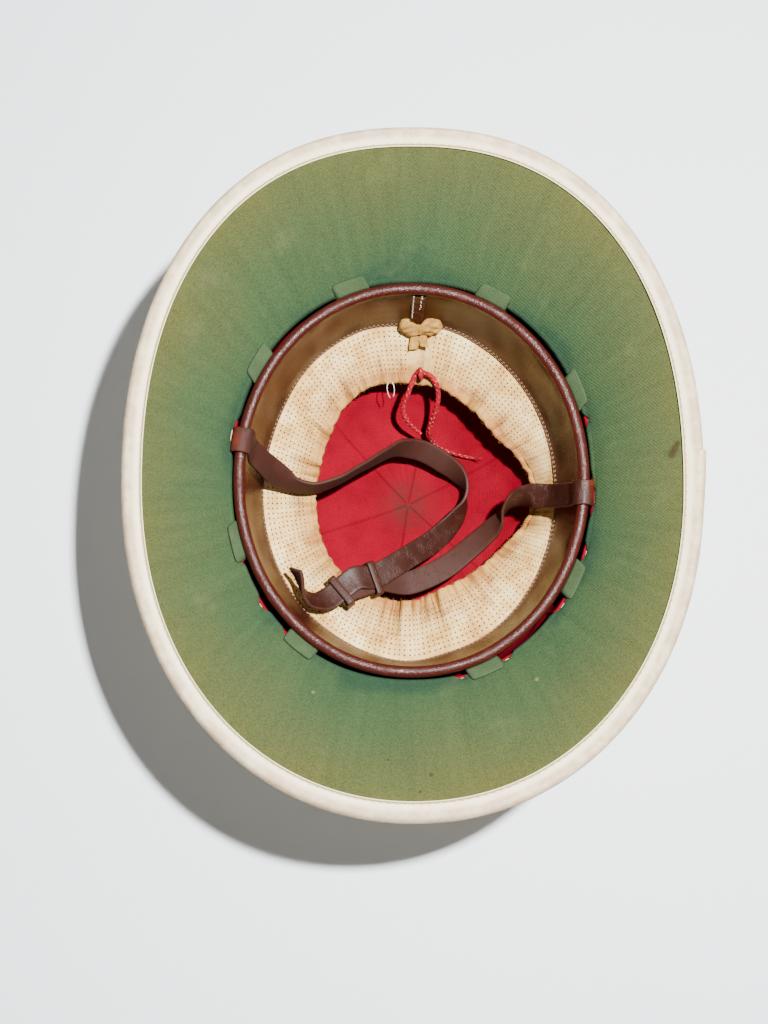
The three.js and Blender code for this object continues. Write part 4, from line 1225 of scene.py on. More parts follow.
@dataclass
class Crown:
    """The crown's cloth outside, its red lining, the band round its foot and its button."""

    columns: int = 288
    gores: tuple[float, ...] = (22.0, 78.0, 137.0, 197.0, 262.0, 320.0)
    gore_width: float = 2.0
    lining_seam_width: float = 0.65
    gore_height: float = 0.55
    crease_height: float = 0.8
    seam_height: float = 0.5
    cover_rows: tuple[float, ...] = (0.0, 12.0, 25.0, 38.0, 51.0, 63.0, 74.0, 84.0)
    band_height: float = 26.0
    band_wall: float = 1.5
    fold_count: int = 4
    button_height: float = 8.0
    button_profile: Table = (
        (15.0, 0.0), (18.0, 0.12), (19.5, 0.36), (19.5, 0.56), (16.3, 0.74), (13.0, 0.8),
    )

    def gore(self, angle: Array, latitude: Array, width: float) -> Array:
        """1 on a seam between two panels, falling to 0 at its width: a bell on the distance."""
        radius = FORM.opening_half_width * np.cos(latitude) ** (2.0 / FORM.dome_fullness)
        seams = np.radians(self.gores)
        away = np.abs(np.mod(angle[..., None] - seams + math.pi, TAU) - math.pi).min(axis=-1)
        return np.exp(-((away * radius / width) ** 2))

    @staticmethod
    def bowl(front: Array, back: Array, seam: Array, levels: tuple[float, float]) -> Shape:
        """A bowl of two faces, each closed by a point at its own level, its seams kept as the tone."""
        tone = np.concatenate([seam, np.zeros(back.shape[:2])])
        poles = (UP * levels[0], UP * levels[1])
        return Shape().grid(np.concatenate([front, back]), ring=True, tone=tone, poles=poles)

    def cover(self) -> None:
        """The crown's cloth: a closed wall whose outside is raised along the seams."""
        outer = np.radians(np.concatenate([[89.2, 88.0], np.linspace(86.0, 4.0, 42), [1.5, 0.0]]))
        angle, latitude = np.meshgrid(turns(self.columns), outer)
        seam = self.gore(angle, latitude, self.gore_width)
        skin = FORM.dome(angle, latitude, FORM.crown_wall + self.gore_height * seam)
        back = FORM.dome(*np.meshgrid(turns(self.columns), np.radians(self.cover_rows)), 0.0)
        floor = FORM.opening_level - FORM.crown_depth
        shape = self.bowl(skin, back, seam, (floor - FORM.crown_wall, floor))
        settle(shape.build("crown_cover", dress("cloth")), Slot.CREAM_CLOTH, "crown_shell")

    def lining(self) -> None:
        """The red lining: a thin wall, creased along and beside its six seams."""
        offset = -FORM.clearance
        edge = math.degrees(FORM.latitude_at(FORM.opening_level - FORM.cloth, offset))
        rows = np.radians(np.concatenate([[89.3, 88.2], np.linspace(86.5, 3.0, 58), [edge]]))
        bearing = turns(self.columns * 2)
        angle, latitude = np.meshgrid(bearing, rows)
        seam = self.gore(angle, latitude, self.lining_seam_width)
        fall = np.sin(latitude)
        crease = ripple(angle, 9.0 * fall, (2, 9), (0.5, 3.5), 4) * 0.6
        crease += ripple(angle, 9.0 * fall, (8, 26), (0.5, 5.0), 7) * 0.3
        calm = ease(0.0, 0.35, np.cos(latitude)) * ease(0.0, 0.1, fall)
        push = np.abs(crease) * self.crease_height * calm + seam * self.seam_height
        front = FORM.dome(angle, latitude, offset - FORM.cloth - push)
        back = FORM.dome(*np.meshgrid(bearing, rows[::-6]), offset)
        floor = FORM.opening_level - FORM.crown_depth + FORM.clearance
        shape = self.bowl(front, back, seam, (floor + FORM.cloth + 0.4, floor))
        settle(shape.build("red_lining", dress("red")), Slot.RED_CLOTH, "crown_lining")

    def band(self) -> None:
        """The cloth band round the crown's foot: folds, each a ramp that drops at its edge."""
        foot = FORM.opening_level - FORM.cloth - FORM.clearance
        inner = FORM.crown_wall + FORM.clearance
        share = np.linspace(0.0, 1.0, 41)
        angle, part = np.meshgrid(turns(self.columns), share)
        fold = np.mod(part * self.fold_count, 1.0)
        swell = np.sin(math.pi * np.clip(part, 0.02, 0.98)) ** 0.3
        thick = self.band_wall * (0.55 + 0.6 * fold**0.7 * swell)
        thick = thick + ripple(angle, part, (3, 11), (0.0, 2.0), 11) * 0.15
        outside = FORM.dome_at(angle, foot - self.band_height * part, inner + thick)
        angle, part = np.meshgrid(turns(self.columns), share[::-8])
        inside = FORM.dome_at(angle, foot - self.band_height * part, inner)
        shape = Shape().grid(np.concatenate([outside, inside]), ring=True, loop=True)
        settle(shape.build("folded_band", dress("cloth")), Slot.CREAM_CLOTH, "crown_band")

    def button(self) -> None:
        """The cloth button: its profile turned round, pulled in a little at six seams.

        Its neck ends on the crown's cloth, whose drop follows from how far out each point lies.
        """
        profile = np.array([[r, h * self.button_height, 0.0] for r, h in self.button_profile])
        places, _ = smooth_path(profile, 5)
        bearing = turns(96)
        angle, row = np.meshgrid(bearing, np.arange(len(places)))
        high = places[row, 1]
        radius = places[row, 0] * (1.0 - 0.012 * np.cos(6.0 * angle) ** 8 * ease(0.5, 3.0, high))
        skin = point(radius * np.cos(angle), radius * np.sin(angle), np.maximum(high, 0.0))
        offset = FORM.crown_wall + FORM.clearance
        x, y = profile[-1, 0] * np.cos(bearing), profile[-1, 0] * np.sin(bearing)
        across = np.abs(x) / (FORM.opening_half_width + offset)
        along = np.abs(y) / (FORM.opening_half_length + offset)
        power = FORM.opening_fullness
        reach = (across**power + along**power) ** (1.0 / power)
        drop = (1.0 - reach**FORM.dome_fullness) ** (1.0 / FORM.dome_fullness)
        seat = point(x, y, FORM.opening_level - (FORM.crown_depth + offset) * drop)[None]
        top = UP * (FORM.opening_level - FORM.crown_depth - offset)
        shape = Shape().grid(np.concatenate([skin, seat]), ring=True, poles=(np.zeros(3), top))
        settle(shape.build("button_cover", dress("cloth")), Slot.CREAM_CLOTH, "vent_button")

    def build(self) -> None:
        """Builds the crown's four pieces."""
        self.cover()
        self.lining()
        self.band()
        self.button()


@dataclass
class Brim:
    """The brim's cloth, its green twill lining and the sewn tape round its edge."""

    columns: int = 600
    lip_front: Table = (
        (8.5, -2.1, 0.0), (2.1, -2.2, 0.0), (0.3, -2.0, 0.0), (0.0, -1.3, 0.7), (0.0, -0.6, 1.0),
    )
    lip_back: Table = ((0.2, -1.45, 0.0), (8.5, -1.5, 0.0))
    lip_gaps: Table = (
        (169.5, 6.5), (-4.6, 6.5), (15.0, 2.0), (-20.0, 3.2), (-37.0, 4.5), (-61.0, 3.2), (-76.0, 2.4),
        (229.0, 2.6), (217.0, 3.4), (202.0, 2.0),
    )
    tape_reach: float = 8.0
    tape_wall: float = 1.1
    lip: float = 0.5
    lap_bearing: float = 2.0
    lap_length: float = 9.0
    lap_height: float = 1.5
    stitch_pitch: float = 3.9
    stitch_inset: float = 1.35
    stitch_size: tuple[float, float, float] = (1.45, 0.34, 0.34)

    def cover(self) -> None:
        """The brim's cloth outside and the hidden face that carries the lining."""
        angle, part = np.meshgrid(turns(self.columns // 2), np.linspace(0.0, 1.0, 17))
        under = FORM.cloth_face(angle, part)
        under[0, :, 2] += FORM.clearance
        over = FORM.green(angle[::-4], part[::-4])
        over[-1, :, 2] += FORM.clearance
        shape = Shape().grid(np.concatenate([under, over]), ring=True, loop=True)
        settle(shape.build("brim_cover", dress("cloth")), Slot.CREAM_CLOTH, "brim_shell")

    def lining(self) -> None:
        """The twill: a thin wall on the green face, lifted by slow waves and turned into the crown.

        Where a strap or a block leaves no room, the turned lip shrinks to the opening's edge.
        """
        bearing = turns(self.columns)
        angle, part = np.meshgrid(bearing, np.concatenate([[0.02], np.linspace(0.04, 1.0, 34)]))
        wave = ripple(angle, part, (2, 7), (1.0, 6.0), 21) * 0.22
        wave += ripple(angle, part, (9, 24), (0.5, 4.0), 22) * 0.07
        calm = ease(0.0, 0.12, part) * (1.0 - ease(0.86, 0.95, part))
        top = FORM.green_offset(angle, part, FORM.clearance + FORM.cloth + (wave + 0.3) * calm)
        back = FORM.green_offset(angle[::-6], part[::-6], FORM.clearance)
        turned = 1.0 - near_bearing(bearing, self.lip_gaps)
        edge = FORM.dome(bearing, 0.0, 0.1) + UP * 0.75

        def lip(rows: Table, start: Array) -> Array:
            """Rows turned down into the crown, given as depth under the opening, offset and lift."""
            folds = [
                FORM.dome_at(bearing, FORM.opening_level - depth, offset) + UP * lift
                for depth, offset, lift in rows
            ]
            return np.stack([lean(start, fold, turned) for fold in folds])

        front = lip(self.lip_front, edge)
        under = lip(self.lip_back, edge - UP * 0.12)
        section = np.concatenate([front, top, back, under])
        tone = np.concatenate([np.zeros(front.shape[:2]), part, part[::-6], np.zeros(under.shape[:2])])
        shape = Shape().grid(section, ring=True, loop=True, tone=tone)
        settle(shape.build("green_lining", dress("green")), Slot.GREEN_CLOTH, "brim_lining")

    def lap(self, angle: Array) -> Array:
        """The tape's second layer where its ends overlap: full at the step, then thinning out."""
        back = np.mod(math.radians(self.lap_bearing) - angle, TAU)
        length = math.radians(self.lap_length)
        return np.where(back < length, (1.0 - back / length) ** 1.5, 0.0)

    def tape(self) -> None:
        """The tape: a section folded round the edge, from a rolled lip over and back underneath."""
        top = 2.0 * FORM.clearance + FORM.cloth
        bottom = -FORM.brim_wall - FORM.clearance
        step = np.radians([self.lap_bearing - 0.05, self.lap_bearing + 0.05])
        angle = np.sort(np.append(turns(self.columns), step))
        edge = FORM.green(angle, 1.0)
        along = unit(edge - FORM.green(angle, 0.97))
        across = FORM.normal(FORM.green, angle, 1.0, UP)
        layer = self.lap(angle) * self.lap_height

        def fold(reach: float, rise: float, swell: float = 0.0) -> Array:
            """A row of the section, given along and across the brim at its edge."""
            return edge + along * spread(reach + swell * layer) + across * rise

        green_in = 1.0 - self.tape_reach / FORM.width(FORM.green, angle)
        cloth_in = 1.0 - self.tape_reach / FORM.width(FORM.cloth_face, angle)
        wall = self.tape_wall
        outer = FORM.clearance + wall
        lip_top = FORM.green_offset(angle, green_in, top + wall)
        lip_low = FORM.green_offset(angle, green_in, top)
        under_low = FORM.cloth_offset(angle, cloth_in, FORM.clearance)
        under_top = FORM.cloth_offset(angle, cloth_in, FORM.clearance + wall)
        shoulder = fold(-0.6, top + wall + 0.1, 1.0)
        flat = [lean(lip_top, shoulder, t) for t in (0.1, 0.16, 0.24, 0.4, 0.6, 0.8)]
        rows = [
            lip_low,
            lean(lip_low, lip_top, 0.5) - along * 0.35,
            lip_top - along * 0.1 + across * self.lip * 0.6,
            lean(lip_top, shoulder, 0.05) + across * self.lip,
            flat[0] + across * self.lip * 0.6,
            flat[1] - across * 0.45,
            flat[2] - across * 0.1,
            *flat[3:],
            shoulder,
            fold(0.55, top + wall * 0.62, 1.0),
            fold(1.15, top - 0.5, 1.0),
            fold(outer + 0.12, -0.2, 1.0),
            fold(outer + 0.18, -1.5, 1.0),
            fold(outer + 0.05, -2.9, 1.0),
            fold(1.0, -4.1, 1.0),
            fold(0.3, -5.0, 1.0),
            fold(-0.7, bottom - wall, 1.0),
            lean(fold(-0.7, bottom - wall), under_top, 0.5),
            under_top,
            under_low,
            fold(-0.3, bottom),
            fold(0.25, bottom + 0.4),
            fold(0.25, top - 0.4),
            fold(-0.3, top),
        ]
        shape = Shape().grid(np.stack(rows), ring=True, loop=True)
        settle(shape.build("edge_tape", dress("tape")), Slot.CREAM_TAPE, "rim_binding")

    def stitches(self) -> None:
        """One row of cream stitches just outside the tape's lip."""
        lift = 2.0 * FORM.clearance + FORM.cloth + self.tape_wall - 0.1
        reach = self.tape_reach - self.stitch_inset

        def line(angle: Array) -> Array:
            """The sewn line at an angle."""
            return FORM.green_offset(angle, 1.0 - reach / FORM.width(FORM.green, angle), lift)

        def normal(angle: Array) -> Array:
            """The way up from the brim's edge at an angle."""
            return FORM.normal(FORM.green, angle, 1.0, UP)

        shape = sew(Shape(), line, normal, self.stitch_pitch, self.stitch_size, 0.1)
        settle(shape.build("tape_stitches", dress("cream_thread")), Slot.CREAM_TAPE)

    def build(self) -> None:
        """Builds the brim's pieces."""
        self.cover()
        self.lining()
        self.tape()
        self.stitches()


# Sweatband


@dataclass
class SweatBand:
    """The leather band with its bead, lap seam, stitches and ribbon bow."""

    columns: int = 480
    wave_height: float = 0.75
    stitch_rows: tuple[float, float] = (0.945, 0.985)
    stitch_pitch: float = 2.5
    stitch_size: tuple[float, float, float] = (0.8, 0.24, 0.2)
    seam_bearing: float = 87.2
    seam_width: float = 7.4
    seam_wall: float = 0.8
    seam_gap: float = 0.8
    thread_radius: float = 0.2
    knots: int = 8
    knot_size: tuple[float, float, float] = (0.6, 0.2, 0.2)
    bow_offset: tuple[float, float, float] = (1.5, 0.0, 4.7)
    bow_loops: Table = ((-1.0, 10.4), (1.0, 13.2))
    bow_ends: Table = ((-2.6, 10.5, 0.6), (3.4, 8.5, 3.2))
    bow_up: tuple[float, float, float] = (0.0, 0.64, 0.77)
    bow_down: tuple[float, float, float] = (0.0, -0.9, -0.44)
    ribbon_half: float = 3.1
    ribbon_wall: float = 0.9
    fray_count: int = 260
    fray_length: tuple[float, float] = (1.2, 3.4)
    fray_radius: float = 0.07

    def waviness(self, angle: Array, share: float) -> Array:
        """The leather's slow waves, calm at the bead and at the deep edge."""
        calm = ease(0.04, 0.25, share) * (1.0 - ease(0.8, 0.95, share))
        slow = ripple(angle, share, (3, 10), (1.0, 5.0), 31)
        quick = ripple(angle, share, (14, 34), (2.0, 9.0), 32)
        return (slow * 0.8 + quick * 0.25) * self.wave_height * calm

    def leather(self) -> None:
        """The band: a thin wall up to a round bead and down again behind."""
        angle = turns(self.columns)
        wall = FORM.band_wall / 2.0
        shares = np.concatenate([np.linspace(1.0, 0.1, 26), [0.07, 0.062]])
        back_shares = (0.08, 0.3, 0.55, 0.8, 1.0)
        inside = [FORM.band_offset(angle, s, self.waviness(angle, s) - wall) for s in shares]
        outward, rising = FORM.band_frame(angle, 0.0)
        top = FORM.band(angle, 0.0)
        arcs = np.radians(np.linspace(252.0, -72.0, 19))
        bead = [top + FORM.bead_radius * (outward * math.cos(t) + rising * math.sin(t)) for t in arcs]
        outside = [FORM.band_offset(angle, s, wall) for s in back_shares]
        tone = np.concatenate([shares, np.full(len(arcs), -0.5), [0.1, *back_shares[1:]]])
        shape = Shape().grid(np.stack([*inside, *bead, *outside]), ring=True, loop=True, tone=tone[:, None])
        settle(shape.build("band_leather", dress("band")), Slot.BROWN_LEATHER, "sweatband")

    def stitches(self) -> None:
        """Two rows of small stitches beside the mesh."""
        shape = Shape()
        for share in self.stitch_rows:

            def line(angle: Array, at: float = share) -> Array:
                """The sewn line at an angle."""
                return FORM.band_offset(angle, at, -FORM.band_wall / 2.0 - 0.08)

            def normal(angle: Array, at: float = share) -> Array:
                """The way out of the band at an angle."""
                return FORM.band_frame(angle, at)[0]

            sew(shape, line, normal, self.stitch_pitch, self.stitch_size)
        settle(shape.build("band_stitches", dress("pink_thread")), Slot.BROWN_LEATHER)

    def seam_face(self) -> float:
        """The lap strip's face, measured outwards from the middle of the band's wall."""
        return -FORM.band_wall / 2.0 - self.seam_gap - self.seam_wall

    def seam(self) -> None:
        """The lap strip, soft at its corners and a little crumpled."""
        part, turn = np.meshgrid(np.linspace(0.1, 0.99, 40), turns(20), indexing="ij")
        wide, deep = soft_square(turn, 0.35, 0.6)
        crumple = 0.12 * np.sin(part * 41.0 + wide * 2.0) + 0.1 * np.sin(part * 23.0 - wide * 3.0)
        push = self.seam_face() + (1.0 - deep) * self.seam_wall / 2.0 + crumple * (deep > 0)
        angle = math.radians(self.seam_bearing) + self.seam_width / 2.0 / FORM.head_half_width * wide
        rows = FORM.band_offset(angle, part, push)
        shape = Shape().grid(rows, ring=True, capped=True, tone=part * 0.6 + 0.2)
        settle(shape.build("lap_strip", dress("band")), Slot.BROWN_LEATHER, "sweatband_seam")

    def seam_thread(self) -> None:
        """A white thread down the lap, and small crumpled knots beside it."""
        share = np.linspace(0.1, 0.74, 90)
        angle = np.radians(self.seam_bearing + 1.75 + 0.12 * np.sin(share * 60.0))
        places = FORM.band_offset(angle, share, self.seam_face() - 0.1)
        shape = Shape().tube(places, self.thread_radius, 6, (0.0, 1.0, 0.2))
        chance = np.random.default_rng(8)
        bearing = np.radians(self.seam_bearing - 0.9 + chance.normal(0.0, 0.12, self.knots))
        centres = FORM.band_offset(bearing, np.linspace(0.1, 0.5, self.knots), self.seam_face() - 0.12)
        axes = chance.normal(0.0, 1.0, (self.knots, 3, 3))
        first = unit(axes[:, 0])
        second = unit(np.cross(first, axes[:, 1]))
        axes = np.stack([first, second, np.cross(first, second)], axis=1)
        axes = axes * np.array(self.knot_size)[:, None]
        shape.scatter(dash(), centres, axes)
        settle(shape.build("lap_thread", dress("white_thread")), Slot.BROWN_LEATHER)

    def bow(self) -> None:
        """The bow: two crumpled loops, a knot and two ends, with frayed fibres along their edges.

        A loop is a flattened tube that swells as a sine away from the knot and closes at its end,
        and three sines round and along it crumple it. Loops and knot are worked out along three
        directions: across the band's seam, up its wall and out of the wall.
        """
        anchor = FORM.mesh(np.radians([self.seam_bearing]), 0.12)[0] + np.array(self.bow_offset)
        across = np.array([1.0, 0.0, 0.0])
        rising = unit(np.array(self.bow_up))
        facing = np.cross(across, rising)
        frame = np.stack([across, rising, facing])
        shape = Shape()
        edges = []
        t, turn = np.meshgrid(np.linspace(0.0, 1.0, 30), turns(44), indexing="ij")
        for side, reach in self.bow_loops:
            swell = (0.34 + 0.66 * np.sin(math.pi * (0.06 + 0.8 * t)) ** 0.8) * np.sqrt(1.0 - 0.98 * t**8)
            crumple = 1.0 + 0.15 * np.sin(4.0 * turn + 5.0 * t * side) + 0.1 * np.sin(7.0 * turn - 11.0 * t)
            swell = swell * (crumple + 0.05 * np.sin(15.0 * turn + 19.0 * t))
            high = 3.6 * np.sin(2.2 * t) + 5.0 * swell * np.cos(turn)
            puff = anchor + point(side * reach * t, high, 0.6 + 3.0 * swell * np.sin(turn)) @ frame
            shape.grid(puff, ring=True, capped=True)
            edges.append(puff[::2, ::5].reshape(-1, 3))
        down = unit(np.array(self.bow_down))
        lifted = np.cross(down, across)
        t = np.linspace(0.0, 1.0, 26)
        for side, reach, curl in self.bow_ends:
            lift = 0.2 - 1.2 * ease(0.0, 0.35, t) + curl * t**3
            laid = point(side * t**0.6, reach * t + 0.3, lift)
            twist = 0.16 * t * side
            wide = unit(np.outer(np.cos(twist), across) + np.outer(np.sin(twist), lifted))
            path = anchor + laid @ np.stack([across, down, lifted])
            edges.append(self.ribbon(shape, path, wide, self.ribbon_half * (1.0 - 0.15 * t)))
        turn, ring = np.meshgrid(turns(28), np.linspace(-1.0, 1.0, 15))
        barrel = 2.1 * (1.0 - 0.25 * ring**2) * (1.0 + 0.06 * np.sin(turn * 7.0 + ring * 3.0))
        knot = point(barrel * np.sin(turn) * 1.15, ring * 3.4 + 0.6, barrel * np.cos(turn) * 0.8)
        shape.grid(anchor + knot @ frame, ring=True, capped=True)
        settle(shape.build("ribbon_bow", dress("ribbon")), Slot.RIBBON, "sweatband_bow")
        self.fray(np.concatenate(edges), facing)

    def ribbon(self, shape: Shape, path: Array, wide: Array, half: Array) -> Array:
        """Adds a thin ribbon along a path.

        Args:
            shape: the shape to add to.
            path: the ribbon's middle.
            wide: the direction across it at each place.
            half: half its width at each place.

        Returns:
            Points along both of its edges.
        """
        thick = unit(np.cross(unit(np.gradient(path, axis=0)), wide))
        flat, deep = soft_square(turns(18), 0.5, 0.8)
        along = np.linspace(0.0, 1.0, len(path))[:, None]
        push = deep * self.ribbon_wall / 2.0 + 0.3 * np.sin(flat * 5.0 + along * 13.0)
        rows = path[:, None] + wide[:, None] * spread(flat * half[:, None])
        shape.grid(rows + thick[:, None] * spread(push), ring=True, capped=True)
        return np.concatenate([path + wide * half[:, None], path - wide * half[:, None]])

    def fray(self, edges: Array, facing: Array) -> None:
        """Fine loose fibres that stand off the ribbon's edges."""
        chance = np.random.default_rng(5)
        centres = edges[chance.integers(0, len(edges), self.fray_count)]
        lengths, radius = self.fray_length, self.fray_radius
        axes = fibre_axes(chance, facing * 1.2, 1.0, lengths, radius, self.fray_count)
        shape = Shape().scatter(strand(), centres, axes)
        settle(shape.build("ribbon_fray", dress("ribbon")), Slot.RIBBON)

    def build(self) -> None:
        """Builds the band's pieces."""
        self.leather()
        self.stitches()
        self.seam()
        self.seam_thread()
        self.bow()


# Mesh liner and drawstring


@dataclass
class MeshLiner:
    """The pierced cotton round the crown's opening, gathered on a red cord."""

    columns: int = 960
    hem_radius: float = 1.8
    pucker_height: float = 1.35
    cord_radius: float = 1.5
    cord_reference: tuple[float, float, float] = (0.1, 0.45, -0.9)
    cord_step: float = 0.22
    cord_sides: int = 20
    strand_turn: float = 1.9
    hem_turns: tuple[float, ...] = (125.0, 95.0, 65.0, 35.0, 5.0, -25.0, -55.0, -90.0, -125.0)
    sewn_share: float = 1.02
    area_share: float = 0.86
    fuzz_count: int = 620
    fuzz_length: tuple[float, float] = (0.5, 1.5)
    fuzz_radius: float = 0.06
    tail_count: int = 46
    tail_length: tuple[float, float] = (1.6, 4.2)
    tail_radius: float = 0.12
    tail_way: tuple[float, float, float] = (3.6, -0.8, 0.4)
    thread_radius: float = 0.19
    thread_routes: tuple[Table, ...] = (
        ((-11.9, 62.2, 61.6), (-12.4, 59.6, 61.2), (-12.0, 56.8, 59.0), (-10.9, 54.6, 56.4)),
        ((-9.6, 62.6, 61.6), (-8.6, 59.8, 61.4), (-8.4, 57.2, 60.0), (-9.0, 55.0, 57.6)),
    )
    knot_radius: float = 1.3
    knot_arch: Table = ((8.6, 66.4, 46.2), (7.4, 67.2, 47.6), (5.2, 67.2, 47.2), (3.7, 66.8, 44.9))
    knot_middle: tuple[float, float, float] = (6.2, 66.2, 47.0)
    drawstring: Table = (
        (8.0, 66.8, 46.0), (11.6, 65.4, 46.0), (14.6, 61.5, 44.5), (16.0, 56.5, 41.0), (15.6, 51.0, 36.0),
        (14.0, 46.0, 30.5), (12.0, 41.8, 25.0), (11.6, 38.4, 19.5), (13.0, 35.4, 13.6), (15.8, 32.8, 9.3),
        (19.6, 31.0, 7.5), (24.4, 29.2, 7.6), (29.6, 27.4, 8.6), (34.8, 25.9, 10.0), (38.4, 25.1, 11.2),
    )
    drawstring_end: Table = (
        (3.8, 67.0, 44.3), (1.6, 62.6, 43.4), (-1.0, 56.0, 41.0), (-3.0, 51.4, 37.0), (-3.2, 47.0, 32.5),
        (-0.6, 43.0, 28.5), (3.2, 40.0, 24.6), (7.0, 37.4, 21.6),
    )

    def puckers(self, angle: Array, share: float) -> Array:
        """Finer gathers on top of the main ones: wandering cosines that grow towards the hem."""
        first = np.cos(31.0 * angle + 1.4 * np.sin(2.0 * angle) + 1.1 * np.sin(5.0 * angle))
        second = np.cos(67.0 * angle + 2.0 * np.sin(3.0 * angle) + 1.0)
        strong = 0.75 + 0.35 * np.cos(angle + math.pi / 2.0)
        soft = ripple(angle, share, (5, 15), (1.0, 6.0), 41) * 0.35
        return self.pucker_height * strong * (first + 0.45 * second) * share + soft * share * (1.0 - share)

    def middle(self, angle: Array, share: float) -> Array:
        """The cloth's middle, with its finer gathers."""
        place = FORM.mesh(angle, share)
        place[:, 2] += self.puckers(angle, share)
        return place

    def cloth(self) -> None:
        """The gathered cloth, a thin wall that ends in a rolled hem with pinched edges."""
        angle = turns(self.columns)
        shares = np.linspace(0.0, 0.94, 30)
        rows = [self.middle(angle, share) for share in shares]
        top = [row + UP * FORM.cloth / 2.0 for row in rows]
        low = [row - UP * FORM.cloth / 2.0 for row in rows[::-3]]
        hem = self.middle(angle, 1.0)
        inward = -unit((FORM.mesh(angle, 0.0) - FORM.mesh(angle, 1.0)) * LEVEL)
        pinch = 0.28 * np.cos(58.0 * angle + 1.7 * np.sin(4.0 * angle))
        pinch += 0.2 * ripple(angle, 1.0, (30, 90), (0.0, 1.0), 43)
        radius = self.hem_radius * (1.0 + 0.12 * pinch)
        roll = []
        for turn in np.radians(self.hem_turns):
            spot = hem + inward * spread(math.cos(turn) * radius + pinch * 0.5)
            roll.append(spot + UP * spread(math.sin(turn) * radius))
        tone = np.concatenate([shares, np.ones(len(roll)), shares[::-3]])[:, None]
        shape = Shape().grid(np.stack([*top, *roll, *low]), ring=True, loop=True, tone=tone)
        piece = settle(shape.build("gathered_mesh", dress("pierced")), Slot.MESH_COTTON, "mesh_liner")
        edge = FORM.band(np.linspace(0.0, TAU, 361), 1.0)
        width = float(arc(np.stack([*rows, hem + inward * self.hem_radius]), 0, False)[-1])

    def fuzz(self) -> None:
        """Short loose fibres along the hem, and two white thread ends at the back."""
        chance = np.random.default_rng(14)
        angle = chance.uniform(0.0, TAU, self.fuzz_count)
        inward = -unit(FORM.mesh(angle, 0.0) * LEVEL)
        high = chance.uniform(-0.4, 1.2, self.fuzz_count)
        spots = self.middle(angle, 1.0) + inward * spread(np.cos(high) * self.hem_radius)
        spots += UP * spread(np.sin(high) * self.hem_radius)
        lengths, radius = self.fuzz_length, self.fuzz_radius
        axes = fibre_axes(chance, inward * 1.4, 0.8, lengths, radius, self.fuzz_count)
        shape = Shape().scatter(strand(), spots, axes)
        settle(shape.build("hem_fuzz", dress("gold_thread")), Slot.MESH_COTTON)
        threads = Shape()
        for route in self.thread_routes:
            threads.tube(smooth_path(route, 6)[0], self.thread_radius, 6, (1.0, 0.1, 0.2))
        settle(threads.build("thread_ends", dress("white_thread")), Slot.MESH_COTTON)

    def cord(self, name: str, node: str, route: Sequence[Sequence[float]]) -> None:
        """A braided cord along its route, bare at its far end and thinner towards it.

        Its radius swells where two sets of strands, each a cosine wound the other way, cross.

        Args:
            name: the piece's name.
            node: the node that it stands for.
            route: points in millimetres, their heights above the crown lining.
        """
        places, _ = smooth_path(np.asarray(route) + UP * FORM.lining_level, 14)
        length = arc(places[:, None], 0, False)
        spaced = np.arange(0.0, length[-1], self.cord_step)
        places = np.stack([np.interp(spaced, length, places[:, k]) for k in range(3)], axis=-1)
        turn = turns(self.cord_sides)[None] * 3.0
        wound = spaced[:, None] * self.strand_turn
        strands = np.maximum(np.cos(turn + wound), np.cos(turn - wound))
        taper = 1.0 - 0.35 * ease(0.55, 1.0, spaced[:, None] / length[-1])
        radius = self.cord_radius * (0.86 + 0.15 * strands) * taper
        tube = Shape().tube(places, radius, self.cord_sides, self.cord_reference)
        piece = tube.build(name, dress("braid"))
        settle(piece, Slot.RED_CORD, node)

    def tail(self) -> None:
        """The frayed end of the drawstring."""
        chance = np.random.default_rng(3)
        end = np.asarray(self.drawstring[-1]) + UP * FORM.lining_level
        ahead = unit(np.array(self.tail_way))
        axes = fibre_axes(chance, ahead, 0.3, self.tail_length, self.tail_radius, self.tail_count)
        centres = end + chance.normal(0.0, 0.45, (self.tail_count, 3)) - ahead * 0.6
        shape = Shape().scatter(strand(), centres, axes)
        settle(shape.build("cord_fray", dress("braid")), Slot.RED_CORD)

    def knot(self) -> None:
        """The small knot that joins both ends of the cord: an arch and one turn round it."""
        arch, _ = smooth_path(self.knot_arch, 12)
        turn = np.linspace(0.0, 1.7 * math.pi, 24)
        ring = point(0.9 * turn / TAU - 0.4, 2.5 * np.cos(turn), 2.3 * np.sin(turn))
        shape = Shape()
        for places in (arch, ring + np.array(self.knot_middle)):
            shape.tube(places + UP * FORM.lining_level, self.knot_radius, 14, self.cord_reference)
        settle(shape.build("cord_knot", dress("braid")), Slot.RED_CORD)

    def build(self) -> None:
        """Builds the liner, its fuzz, and the cord's knot and frayed end."""
        self.cloth()
        self.knot()
        self.fuzz()
        self.tail()


# Felt blocks behind the band


